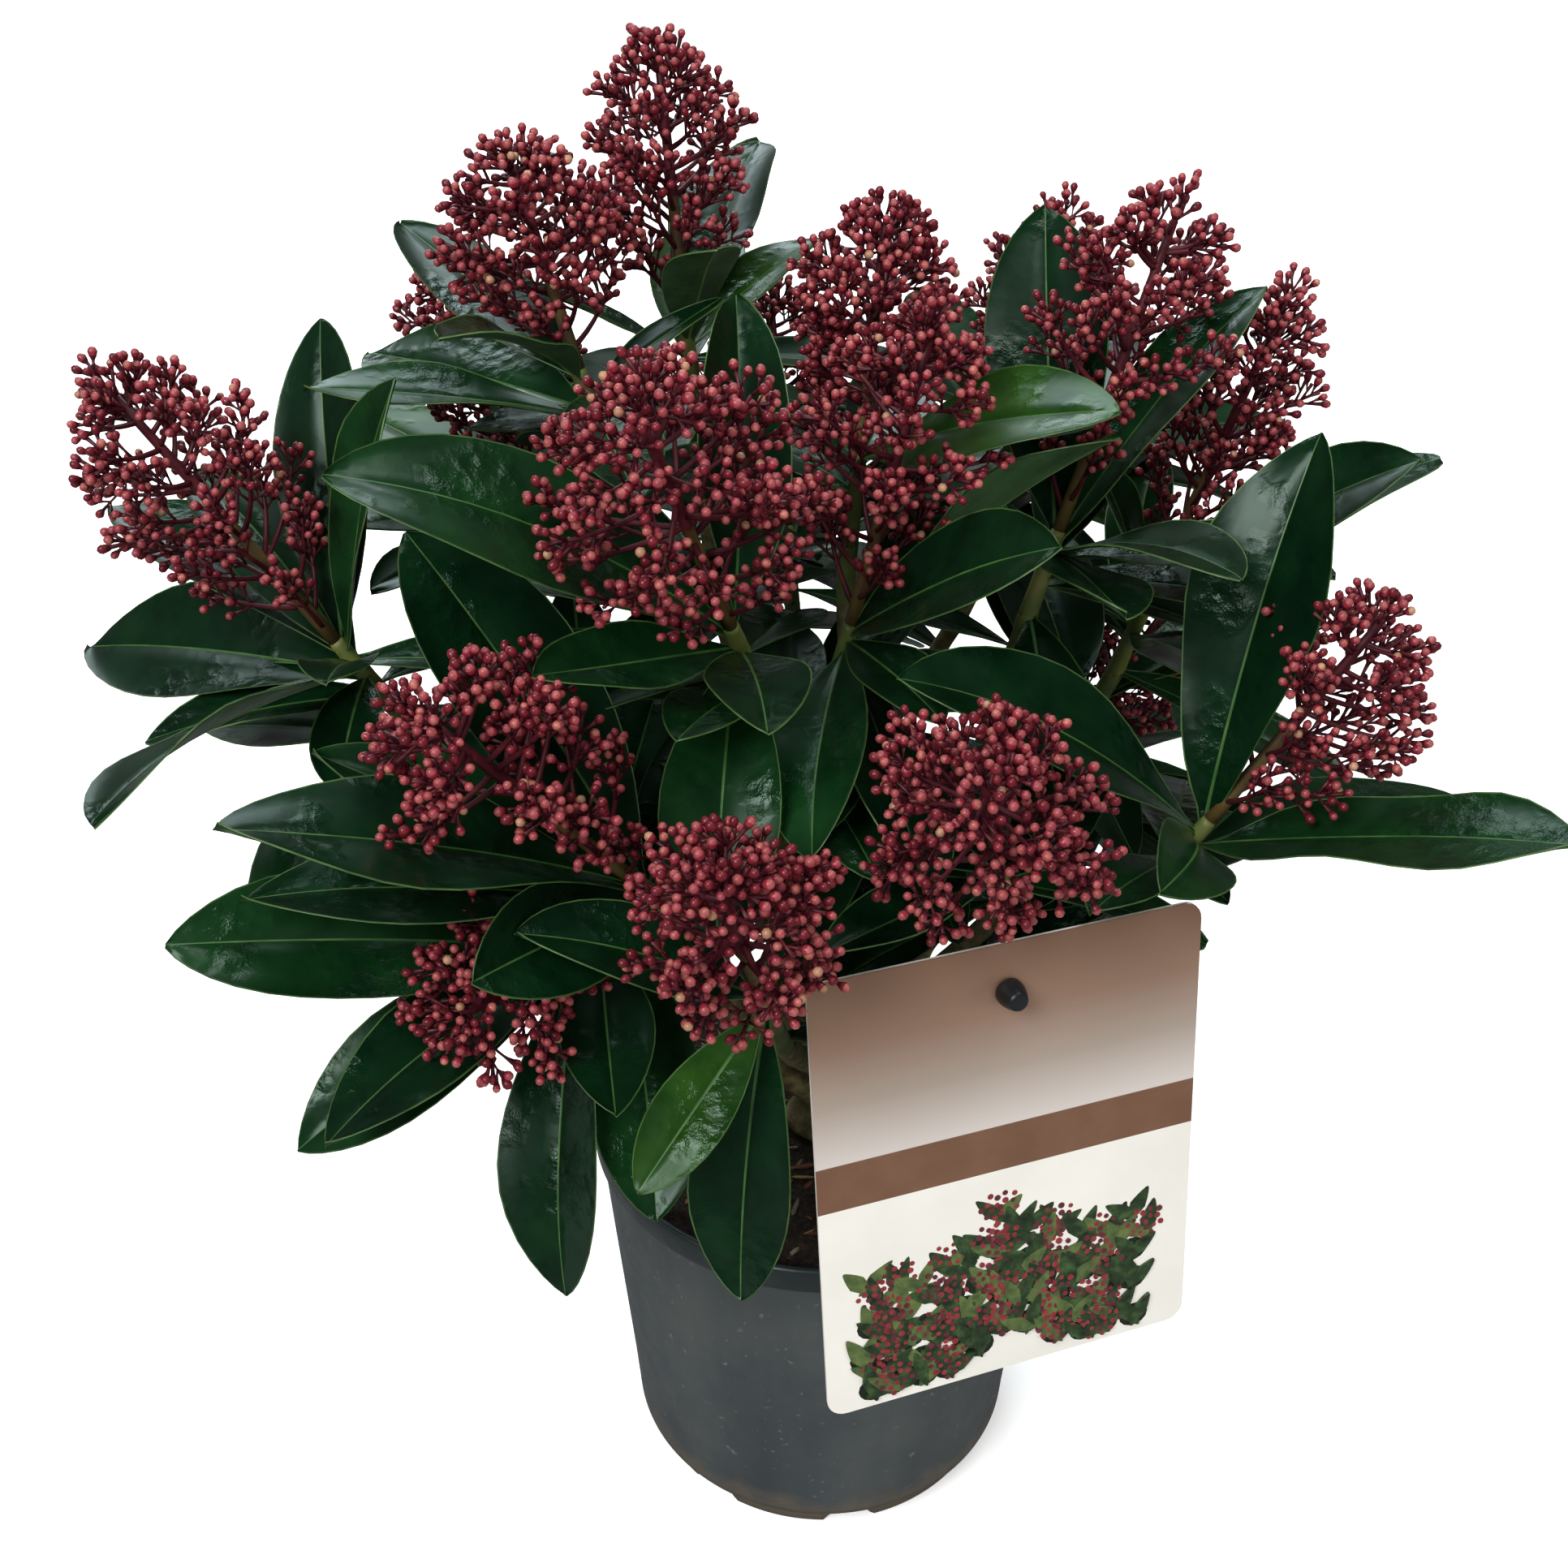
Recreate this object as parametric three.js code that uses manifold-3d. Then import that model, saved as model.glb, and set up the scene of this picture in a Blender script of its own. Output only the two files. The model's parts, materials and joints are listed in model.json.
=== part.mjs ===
// A flowering skimmia in its round nursery pot, with a printed card on a stick.
// Millimetres, +Z up. The origin is the centre of the pot's flat underside, and the card hangs on the -Y side.
import * as THREE from "three";
import { mergeVertices } from "three/addons/utils/BufferGeometryUtils.js";
import Module from "manifold-3d";

const wasm = await Module();
wasm.setup();

// ---- Driving dimensions ----

const POT_HEIGHT = 154;
const RIM_RADIUS = 85;
const RIM_BAND = 10;
const FOOT_RADIUS = 69;
const RIM_LIP = { lead: 1, outer: 1.2, inner: 2.6, drop: 1.5 };
const WALL = 1.8;
const WALL_INSET = { foot: -4, rim: 1.5 };
const FOOT_HEIGHT = 4;
const FOOT_RING = { inner: 5, slope: 1, lift: 1, swell: 0.6, floor: 2 };
const BOWL_LOW = 14;
const PAD_RADIUS = 30;
const NOTCH_WIDTH = 13;
const NOTCH_COUNT = 8;
const NOTCH = { depth: 14, height: 5, centre: 0.6, turn: -82 };
const SOIL_TOP = 145;
const SOIL_CROWN = { radius: 60, drop: 2 };
const ROUND_STEPS = 30;
const GAP = 0.3;

const TRUNK_TOP = 202;
const TRUNK_RADII = [15, 9.5, 6.5];
const TRUNK_LEAN = [5, -3];
const FLARE_POWER = 8;
const TRUNK_STEPS = 8;
const TRUNK_SIDES = 10;
const BOUGH_STEPS = 5;
const BOUGH_SIDES = 6;
const BOUGH_SHARE = { trunk: 0.62, bough: 0.86 };
const BOUGH_HANDLES = [0.42, 0.3];
const BOUGH_SET_OUT = 0.5 * TRUNK_RADII[2];
const SHOOT_STEM = 28;
const STEM_RADII = [3.1, 2.5];
const RACHIS_RADII = [2.2, 1.3];

const LEAF_SHARE = 0.36;
const LEAF_SWELL = { rise: 1.1, fall: 0.75, peak: 0.2868 };
const LEAF_VARIES = { share: 0.05, arch: [0.01, 0.05], fold: [0.14, 0.16] };
const LEAF_THICKNESS = 1.7;
const LEAF_STEPS = [0.3, 0.7];
const PETIOLE_HALF = 1.5;
const LEAF_GAP = 2.2;
const BLADE_FROM = { leaf: 0.12, spray: 0.06 };
const MARGIN = 3;
const KEY_LEAVES = { first: 3, step: 2.4 };
const FILL_LEAVES = { first: 8, step: 2.6, pitch: [34, -10], length: [76, 102] };
const GOLDEN_ANGLE = 137.5;

const CLUSTER_RADIUS = 8;
const CLUSTER_SPACING = 1.7 * CLUSTER_RADIUS;
const SPRAYS = 14;
const SPRAY_SPAN = [0.26, 0.84];
const SPRAY_RISE = [0.2, 0.045];
const SPRAY_REACH = { least: 0.86, more: 0.2, inset: 0.6 * CLUSTER_RADIUS };
const SPRAY_TURN = 40;
const HEAD_BELL = { start: 0.2, span: 0.74, power: 0.8 };
const STALK_GAP = { outline: 2, blade: 3, wood: 2 };
const STALK_STEPS = 8;
const SWELL = { base: 0.75, end: 0.8 };
const CROWN_FROM = 0.7;
const RACHIS_TOP = 0.9;
const RACHIS_SHARE = 0.85;
const SPRAY_RADIUS = 1.1;

const CARD = { width: 120, height: 150, thickness: 0.9, corner: 6, centre: [51, -112, 230], yaw: 19, tilt: -9 };
const CARD_HOLE = { across: -1, up: 60, radius: 2.2 };
const STICK_RADIUS = 1.9;
const STICK_FOOT = [37, -54, 112];
const STICK_BEHIND = 4.5;
const STICK_HEAD = { up: 14, behind: 5, radius: 3.2 };
const PIN = { from: -6, to: 6, radius: 1.8 };
const KNOB = { from: 1.4, to: 9, radii: [4.2, 1.6] };

// Each shoot: its bough's parent, how far along the parent the bough leaves, and the parent side it leaves by;
// tip is the top of its leafy stem; head is the flower head's heading, pitch, length and width;
// each leaf is heading, pitch, length and, where it isn't level across, roll; fill is how many more are grown.
const SHOOTS = [
  {
    name: "top", parent: "trunk", at: 0.95, side: [125, 56],
    tip: [-46, 60, 424], head: [118, 80, 89, 50], fill: 0,
    leaves: [[75, 27, 94, -15], [-76, 44, 64, 10], [46, 21, 70, -10], [-160, 30, 60], [88, 13, 92]],
  },
  {
    name: "upper_left", parent: "top", at: 0.4, side: [170, 55],
    tip: [-76, 20, 424], head: [147, 71, 68, 58], fill: 1,
    leaves: [[-114, 27, 78, -5], [134, 20, 96], [20, 30, 50], [75, -8, 76], [141, -2, 103, -14]],
  },
  {
    name: "far_left", parent: "trunk", at: 0.58, side: [184, 42],
    tip: [-152, -10, 349], head: [-178, 57, 106, 60], fill: 2,
    leaves: [
      [99, 57, 102, -35], [-9, 75, 92, 35], [152, 20, 98], [-83, 25, 66], [-117, 7, 112, 30],
      [156, -7, 115, -32],
    ],
  },
  {
    name: "centre", parent: "trunk", at: 0.9, side: [-75, 58],
    tip: [5, -20, 360], head: [8, 77, 100, 66], fill: 1,
    leaves: [
      [-48, 37, 92, 40], [-67, 6, 62, 10], [-98, -10, 88, 25], [-76, -14, 92, -30], [12, 46, 104, -40],
      [70, 24, 80],
    ],
  },
  {
    name: "centre_left", parent: "centre", at: 0.55, side: [-110, 62],
    tip: [-30, -50, 375], head: [-118, 61, 100, 74], fill: 1,
    leaves: [[90, 48, 100, 42], [-158, 33, 124, -26], [156, 5, 108, -5], [-134, 15, 76, -20], [-90, 16, 80]],
  },
  {
    name: "centre_back", parent: "centre", at: 0.42, side: [60, 66],
    tip: [8, 22, 397], head: [62, 78, 76, 52], fill: 3,
    leaves: [[-50, 24, 100, 25], [74, 4, 82, 10], [8, 20, 60]],
  },
  {
    name: "upper_right", parent: "trunk", at: 0.84, side: [16, 52],
    tip: [71, 20, 372], head: [28, 71, 110, 66], fill: 4,
    leaves: [[91, 50, 110, -15], [22, 50, 100, -5], [-84, 13, 84, -15], [-25, 10, 88]],
  },
  {
    name: "high_right", parent: "upper_right", at: 0.5, side: [25, 45],
    tip: [108, 50, 332], head: [-2, 73, 118, 46], fill: 0,
    leaves: [
      [-30, 42, 106, 25], [9, 29, 112], [-136, 58, 70, -65], [77, 38, 70, -30], [-60, 5, 56], [120, 12, 84],
      [80, -12, 88],
    ],
  },
  {
    name: "far_right", parent: "trunk", at: 0.55, side: [-24, 45],
    tip: [112, -50, 310], head: [4, 58, 86, 66], fill: 0,
    leaves: [
      [54, 62, 119, -10], [-166, 36, 116, -20], [-116, 22, 70, -35], [-39, 24, 116, 5], [16, 4, 92, -15],
      [-126, 8, 60], [75, -14, 84],
    ],
  },
  {
    name: "front", parent: "trunk", at: 0.42, side: [-98, 48],
    tip: [-21, -110, 291], head: [-102, 57, 93, 56], fill: 0,
    leaves: [[-157, 34, 80, -15], [60, 30, 70], [-130, -30, 62, -25], [-90, -68, 86, 10]],
  },
  {
    name: "front_right", parent: "front", at: 0.4, side: [-60, 50],
    tip: [46, -80, 312], head: [-104, 50, 92, 66], fill: 0,
    leaves: [[165, 15, 70], [-146, -1, 62], [100, 4, 76]],
  },
  {
    name: "low_left", parent: "trunk", at: 0.24, side: [-148, 42],
    tip: [-77, -80, 282], head: [-119, 16, 60, 56], fill: 2,
    leaves: [
      [-95, -54, 100, 30], [-161, 15, 117, -32], [-132, -5, 96], [-145, -17, 101, -12],
      [-170, -20, 66, -15], [-82, -2, 72],
    ],
  },
  {
    name: "front_left", parent: "low_left", at: 0.45, side: [-115, 58],
    tip: [-56, -90, 316], head: [-147, 52, 102, 66], fill: 2,
    leaves: [[-152, 26, 122, -8], [76, 11, 80, -20], [174, 31, 101], [-128, 16, 80, -45], [-169, 10, 114]],
  },
  {
    name: "back_left", parent: "trunk", at: 0.76, side: [138, 48],
    tip: [-98, 84, 352], head: [140, 62, 94, 60], fill: 3,
    leaves: [[150, 14, 108], [100, 20, 104], [-175, 8, 96], [60, 34, 86], [125, -16, 100]],
  },
  {
    name: "back", parent: "trunk", at: 0.5, side: [98, 46],
    tip: [-14, 116, 330], head: [98, 60, 92, 60], fill: 4,
    leaves: [[95, 4, 112], [140, -18, 98], [50, -12, 100], [-160, 30, 80], [105, -40, 92]],
  },
  {
    name: "back_right", parent: "back", at: 0.42, side: [52, 50],
    tip: [66, 108, 362], head: [62, 64, 92, 56], fill: 4,
    leaves: [[60, 12, 108], [10, 6, 104], [110, 26, 96], [-10, -20, 84], [85, -14, 96]],
  },
  {
    name: "low_back", parent: "trunk", at: 0.3, side: [40, 38],
    tip: [84, 56, 268], head: [38, 40, 74, 50], fill: 3,
    leaves: [[38, -14, 104], [0, -22, 98], [80, -20, 98], [-40, 6, 88], [20, -52, 88]],
  },
];

const LEAF_GREEN = new THREE.Color(0x1c4229);
const BUD_RED = new THREE.Color(0x9c3a3d);
const MATERIALS = {
  pot: new THREE.MeshStandardMaterial({ color: 0x555d60, roughness: 0.5, metalness: 0 }),
  soil: new THREE.MeshStandardMaterial({ color: 0x2c2119, roughness: 0.95, metalness: 0 }),
  bark: new THREE.MeshStandardMaterial({ color: 0x6f6a42, roughness: 0.75, metalness: 0 }),
  stick: new THREE.MeshStandardMaterial({ color: 0x17191b, roughness: 0.4, metalness: 0 }),
  card: new THREE.MeshStandardMaterial({ color: 0xd8d2c8, roughness: 0.45, metalness: 0 }),
};

// ---- Small helpers ----

const radians = THREE.MathUtils.degToRad;
const vector = (list) => new THREE.Vector3(...list);

// A unit vector from a compass heading in the XY plane and a pitch above it, in degrees.
function direction(heading, pitch) {
  const level = Math.cos(radians(pitch));
  return new THREE.Vector3(
    level * Math.cos(radians(heading)),
    level * Math.sin(radians(heading)),
    Math.sin(radians(pitch)),
  );
}

// Seeded numbers from 0 to 1, the same ones on every run.
function makeDice(seed) {
  let state = seed * 7919 + 12345;
  const roll = () => {
    state = (1664525 * state + 1013904223) % 4294967296;
    return state / 4294967296;
  };
  roll();
  roll();
  return roll;
}

function solidOf(geometry) {
  const plain = geometry.clone();
  plain.deleteAttribute("normal");
  plain.deleteAttribute("uv");
  const merged = mergeVertices(plain, 1e-4);
  const mesh = new wasm.Mesh({
    numProp: 3,
    vertProperties: new Float32Array(merged.attributes.position.array),
    triVerts: new Uint32Array(merged.index.array),
  });
  return new wasm.Manifold(mesh);
}

function geometryOf(solid) {
  const mesh = solid.getMesh();
  const geometry = new THREE.BufferGeometry();
  geometry.setAttribute("position", new THREE.BufferAttribute(new Float32Array(mesh.vertProperties), 3));
  geometry.setIndex(new THREE.BufferAttribute(new Uint32Array(mesh.triVerts), 1));
  const faceted = geometry.toNonIndexed();
  faceted.computeVertexNormals();
  return faceted;
}

// The piece of a solid with the most volume; loose scraps are dropped.
function largest(solid) {
  const pieces = solid.decompose();
  return pieces.reduce((best, piece) => (piece.volume() > best.volume() ? piece : best));
}

function joined(solids) {
  return solids.reduce((whole, piece) => whole.add(piece));
}

// A closed skin over rings of points, with a flat cap or a single point at each end.
function skin(rings) {
  const points = rings.flat();
  const faces = [];
  let start = 0;
  for (let i = 0; i + 1 < rings.length; i += 1) {
    const [a, b] = [rings[i].length, rings[i + 1].length];
    const next = start + a;
    const count = Math.max(a, b);
    for (let k = 0; k < count; k += 1) {
      const m = (k + 1) % count;
      if (a > 1) faces.push(start + k, start + m, next + (b > 1 ? m : 0));
      if (b > 1) faces.push(start + (a > 1 ? k : 0), next + m, next + k);
    }
    start = next;
  }
  for (let k = 2; k < rings[0].length; k += 1) faces.push(0, k, k - 1);
  for (let k = 2; k < rings.at(-1).length; k += 1) faces.push(start, start + k - 1, start + k);
  const geometry = new THREE.BufferGeometry().setFromPoints(points);
  geometry.setIndex(faces);
  return geometry;
}

// A tapering limb of a few sides along a curve.
function limb(curve, steps, sides, radiusAt) {
  const frames = curve.computeFrenetFrames(steps, false);
  const rings = [];
  for (let i = 0; i <= steps; i += 1) {
    const centre = curve.getPointAt(i / steps);
    const radius = radiusAt(i / steps);
    const ring = [];
    for (let k = 0; k < sides; k += 1) {
      const turn = (2 * Math.PI * k) / sides;
      ring.push(
        centre.clone()
          .addScaledVector(frames.normals[i], radius * Math.cos(turn))
          .addScaledVector(frames.binormals[i], radius * Math.sin(turn)),
      );
    }
    rings.push(ring);
  }
  return skin(rings);
}

const taper = (radii, extra = 0) => (t) => THREE.MathUtils.lerp(radii[0], radii[1], t) + extra;

// ---- Pot and soil ----

function potWallRadius(z) {
  return THREE.MathUtils.lerp(FOOT_RADIUS - WALL_INSET.foot, RIM_RADIUS - WALL_INSET.rim, z / POT_HEIGHT);
}

function potSolid() {
  const bandFoot = POT_HEIGHT - RIM_BAND;
  const { inner, slope, lift, swell, floor } = FOOT_RING;
  const hollow = FOOT_HEIGHT - lift;
  const outline = [
    [0, 0],
    [PAD_RADIUS, 0],
    [PAD_RADIUS + 2 * slope, hollow],
    [FOOT_RADIUS - inner, hollow],
    [FOOT_RADIUS - inner + slope, 0],
    [FOOT_RADIUS, 0],
    [FOOT_RADIUS + swell, FOOT_HEIGHT + lift],
    [potWallRadius(BOWL_LOW), BOWL_LOW],
    [potWallRadius(bandFoot), bandFoot],
    [RIM_RADIUS, bandFoot + RIM_LIP.lead],
    [RIM_RADIUS, POT_HEIGHT - RIM_LIP.drop],
    [RIM_RADIUS - RIM_LIP.outer, POT_HEIGHT],
    [RIM_RADIUS - RIM_LIP.inner, POT_HEIGHT],
    [potWallRadius(bandFoot) - WALL, bandFoot],
    [potWallRadius(BOWL_LOW) - WALL, BOWL_LOW],
    [FOOT_RADIUS - floor, FOOT_HEIGHT + WALL],
    [0, FOOT_HEIGHT + WALL],
  ].map(([radius, z]) => new THREE.Vector2(radius, z));
  let pot = solidOf(new THREE.LatheGeometry(outline, ROUND_STEPS).rotateX(Math.PI / 2));
  for (let i = 0; i < NOTCH_COUNT; i += 1) {
    const notch = new THREE.BoxGeometry(NOTCH.depth, NOTCH_WIDTH, NOTCH.height);
    notch.translate(FOOT_RADIUS, 0, NOTCH.centre);
    notch.rotateZ(radians(NOTCH.turn) + (2 * Math.PI * i) / NOTCH_COUNT);
    pot = pot.subtract(solidOf(notch));
  }
  return largest(pot);
}

function soilSolid(stick) {
  const floor = FOOT_HEIGHT + WALL + GAP;
  const inset = WALL + 2 * GAP;
  const outline = [
    [0, floor],
    [FOOT_RADIUS - FOOT_RING.floor - 2 * GAP, floor],
    [potWallRadius(BOWL_LOW) - inset, BOWL_LOW],
    [potWallRadius(SOIL_TOP) - inset, SOIL_TOP - SOIL_CROWN.drop],
    [SOIL_CROWN.radius, SOIL_TOP],
    [0, SOIL_TOP],
  ].map(([radius, z]) => new THREE.Vector2(radius, z));
  return solidOf(new THREE.LatheGeometry(outline, ROUND_STEPS).rotateX(Math.PI / 2)).subtract(stick);
}

// ---- Trunk and boughs ----

function trunkCurve() {
  const foot = new THREE.Vector3(0, 0, SOIL_TOP + GAP);
  const top = new THREE.Vector3(...TRUNK_LEAN, TRUNK_TOP);
  return new THREE.QuadraticBezierCurve3(foot, new THREE.Vector3(0, 0, (SOIL_TOP + TRUNK_TOP) / 2), top);
}

// The trunk spreads at its foot and then tapers evenly.
function trunkRadius(t) {
  const [flare, foot, top] = TRUNK_RADII;
  return THREE.MathUtils.lerp(foot, top, t) + (flare - foot) * Math.pow(1 - t, FLARE_POWER);
}

function headDirection(shoot) {
  return direction(shoot.head[0], shoot.head[1]);
}

// A point on the straight line of a shoot's leafy stem and rachis, measured from the top of the stem.
function onAxis(shoot, distance) {
  return vector(shoot.tip).addScaledVector(headDirection(shoot), distance);
}

// The bough's curve: out of its parent's axis by its own side, then in line with the shoot's leafy stem.
function boughCurve(shoot, parentCurve) {
  const start = parentCurve.getPointAt(shoot.at);
  if (shoot.parent === "trunk") start.addScaledVector(direction(shoot.side[0], 0), BOUGH_SET_OUT);
  const end = onAxis(shoot, -SHOOT_STEM - GAP);
  const reach = start.distanceTo(end);
  return new THREE.CubicBezierCurve3(
    start,
    start.clone().addScaledVector(direction(...shoot.side), BOUGH_HANDLES[0] * reach),
    end.clone().addScaledVector(headDirection(shoot), -BOUGH_HANDLES[1] * reach),
    end,
  );
}

// ---- Leaves ----

// Half the blade's width at a share t of its length: widest past the middle, pointed at both ends.
function bladeHalf(leaf, t) {
  const swell = Math.pow(t, LEAF_SWELL.rise) * Math.pow(1 - t, LEAF_SWELL.fall);
  return (0.5 * leaf.width * swell) / LEAF_SWELL.peak;
}

// Height of the blade over its chord: an arch along the leaf, and a shallow fold up from the midrib.
function bladeHeight(leaf, t, y) {
  return 4 * leaf.arch * t * (1 - t) + leaf.fold * Math.abs(y);
}

function makeLeaf(shoot, down, [heading, pitch, length, roll = 0], dice) {
  const along = direction(heading, pitch);
  const normal = direction(heading, pitch + 90).applyAxisAngle(along, radians(roll));
  return {
    owner: shoot.name,
    root: onAxis(shoot, -down),
    along,
    normal,
    across: normal.clone().cross(along),
    length,
    width: length * (LEAF_SHARE + LEAF_VARIES.share * (dice() - 0.5)),
    arch: length * (LEAF_VARIES.arch[0] + LEAF_VARIES.arch[1] * dice()),
    fold: LEAF_VARIES.fold[0] + LEAF_VARIES.fold[1] * dice(),
  };
}

function inLeaf(leaf, point) {
  const from = point.clone().sub(leaf.root);
  return { x: from.dot(leaf.along), y: from.dot(leaf.across), z: from.dot(leaf.normal) };
}

function onLeaf(leaf, t, share) {
  const y = share * bladeHalf(leaf, t);
  return leaf.root.clone()
    .addScaledVector(leaf.along, t * leaf.length)
    .addScaledVector(leaf.across, y)
    .addScaledVector(leaf.normal, bladeHeight(leaf, t, y));
}

// How far a point lies over the blade, or null where it isn't within margin of the blade's outline.
function overBlade(leaf, point, margin, from = BLADE_FROM.leaf) {
  const { x, y, z } = inLeaf(leaf, point);
  const t = x / leaf.length;
  if (t < from || t > 1 + margin / leaf.length) return null;
  if (Math.abs(y) > bladeHalf(leaf, Math.min(t, 0.97)) + margin) return null;
  return z - bladeHeight(leaf, Math.min(t, 1), y);
}

const SAMPLE_T = [0.16, 0.3, 0.44, 0.58, 0.72, 0.86, 1];
const SAMPLE_Y = [-1, -0.5, 0, 0.5, 1];

// True where the sampled net of one blade meets or passes through another.
function bladeMeets(leaf, other) {
  const from = leaf.owner === other.owner ? 0.3 : 0.12;
  const net = SAMPLE_T.map((t) => SAMPLE_Y.map((share) => onLeaf(leaf, Math.max(t, from), share)));
  const over = net.map((row) => row.map((point) => overBlade(other, point, MARGIN, from)));
  for (let i = 0; i < SAMPLE_T.length; i += 1) {
    for (let k = 0; k < SAMPLE_Y.length; k += 1) {
      const here = over[i][k];
      if (here === null) continue;
      if (Math.abs(here) < LEAF_GAP) return true;
      const next = [over[i + 1]?.[k], over[i][k + 1]];
      if (next.some((there) => there != null && there * here < 0)) return true;
    }
  }
  return false;
}

const cardAxes = (() => {
  const across = direction(CARD.yaw, 0);
  const up = new THREE.Vector3(0, 0, 1).applyAxisAngle(across, radians(CARD.tilt));
  return { across, up, normal: across.clone().cross(up) };
})();

function inCard(point) {
  const from = point.clone().sub(vector(CARD.centre));
  return { x: from.dot(cardAxes.across), y: from.dot(cardAxes.up), z: from.dot(cardAxes.normal) };
}

// How far a point lies in front of or behind the card, or null beside it.
function overCard(point, margin) {
  const { x, y, z } = inCard(point);
  const beside = Math.abs(x) > CARD.width / 2 + margin || Math.abs(y) > CARD.height / 2 + margin;
  return beside ? null : z;
}

function inPot(point, margin) {
  return point.z < POT_HEIGHT + margin && Math.hypot(point.x, point.y) < RIM_RADIUS + margin;
}

function leafBlocked(leaf, leaves, limbs) {
  const middle = onLeaf(leaf, 0.5, 0);
  for (const other of leaves) {
    const reach = 0.5 * (leaf.length + other.length) + LEAF_GAP;
    if (middle.distanceTo(onLeaf(other, 0.5, 0)) > reach) continue;
    if (bladeMeets(leaf, other) || bladeMeets(other, leaf)) return true;
  }
  for (const { point, radius, owner } of limbs) {
    const from = owner === leaf.owner ? 0.22 : 0.12;
    const over = overBlade(leaf, point, radius + 1, from);
    if (over !== null && Math.abs(over) < radius + LEAF_GAP) return true;
  }
  const net = SAMPLE_T.flatMap((t) => SAMPLE_Y.map((share) => onLeaf(leaf, t, share)));
  const sides = net.map((point) => overCard(point, MARGIN)).filter((side) => side !== null);
  if (sides.some((side) => Math.abs(side) < MARGIN + 1 || side * sides[0] < 0)) return true;
  return net.some((point) => inPot(point, MARGIN));
}

// Small turns of heading and pitch that are tried, in this order, where a leaf would touch something.
const NUDGES = [
  [0, 0], [6, 0], [-6, 0], [0, 7], [0, -7], [12, 4], [-12, 4], [10, -8], [-10, -8], [18, 0], [-18, 0],
];

function placeLeaf(shoot, down, [heading, pitch, length, roll], seed, leaves, limbs) {
  for (const [turn, lift] of NUDGES) {
    const leaf = makeLeaf(shoot, down, [heading + turn, pitch + lift, length, roll], makeDice(seed));
    if (!leafBlocked(leaf, leaves, limbs)) return leaves.push(leaf);
  }
  return 0;
}

function leafSolid(leaf) {
  const half = LEAF_THICKNESS / 2;
  const section = (t, y) => {
    const rim = bladeHeight(leaf, t, y);
    const rib = bladeHeight(leaf, t, 0);
    const place = (across, up) =>
      leaf.root.clone()
        .addScaledVector(leaf.along, t * leaf.length)
        .addScaledVector(leaf.across, across)
        .addScaledVector(leaf.normal, up);
    return [place(-y, rim), place(0, rib - half), place(y, rim), place(0, rib + half)];
  };
  const rings = [section(0, PETIOLE_HALF), ...LEAF_STEPS.map((t) => section(t, bladeHalf(leaf, t)))];
  rings.push([onLeaf(leaf, 1, 0)]);
  return solidOf(skin(rings));
}

// ---- Flower heads ----

// How wide the head is at a share t of its flowering length, as a share of its full width.
function headProfile(t) {
  return Math.pow(Math.sin(Math.PI * (HEAD_BELL.start + HEAD_BELL.span * t)), HEAD_BELL.power);
}

// The sprays of one head: each leaves the rachis at from and ends at to, with a cluster of buds there.
function headSprays(shoot, seed) {
  const dice = makeDice(seed);
  const axis = headDirection(shoot);
  const [heading, pitch, length, width] = shoot.head;
  const sideways = direction(heading + 90, 0);
  const upright = direction(heading, pitch + 90);
  const sprays = [];
  for (let i = 0; i < SPRAYS; i += 1) {
    const t = i / (SPRAYS - 1);
    const turn = radians(GOLDEN_ANGLE * i + SPRAY_TURN * dice());
    const out = sideways.clone().multiplyScalar(Math.cos(turn)).addScaledVector(upright, Math.sin(turn));
    const share = SPRAY_REACH.least + SPRAY_REACH.more * dice();
    const reach = (0.5 * width - SPRAY_REACH.inset) * headProfile(t) * share;
    const leave = length * THREE.MathUtils.lerp(...SPRAY_SPAN, t);
    const rise = length * THREE.MathUtils.lerp(...SPRAY_RISE, t);
    const from = onAxis(shoot, leave);
    const to = from.clone().addScaledVector(out, reach).addScaledVector(axis, rise);
    sprays.push({ from, to });
  }
  return sprays;
}

function clusterBlocked(centre, owner, leaves, limbs, others) {
  const near = leaves.some((leaf) => {
    const over = overBlade(leaf, centre, CLUSTER_RADIUS, BLADE_FROM.spray);
    return over !== null && Math.abs(over) < CLUSTER_RADIUS + LEAF_GAP;
  });
  if (near) return true;
  const wood = limbs.filter((part) => part.owner !== owner);
  if (wood.some((part) => part.point.distanceTo(centre) < part.radius + CLUSTER_RADIUS)) return true;
  if (others.some((other) => other.distanceTo(centre) < 2 * CLUSTER_RADIUS)) return true;
  const side = overCard(centre, CLUSTER_RADIUS);
  return side !== null && Math.abs(side) < CLUSTER_RADIUS + 1;
}

function sprayBlocked({ from, to }, owner, leaves, limbs) {
  for (let step = 1; step <= STALK_STEPS; step += 1) {
    const point = from.clone().lerp(to, step / STALK_STEPS);
    const blade = leaves.some((leaf) => {
      const over = overBlade(leaf, point, STALK_GAP.outline, BLADE_FROM.spray);
      return over !== null && Math.abs(over) < STALK_GAP.blade;
    });
    const wood = limbs.some(
      (part) => part.owner !== owner && part.point.distanceTo(point) < part.radius + STALK_GAP.wood,
    );
    if (blade || wood) return true;
  }
  return false;
}

function stalk(from, to, radii, sides) {
  return solidOf(limb(new THREE.LineCurve3(from, to), 1, sides, taper(radii)));
}

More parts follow.
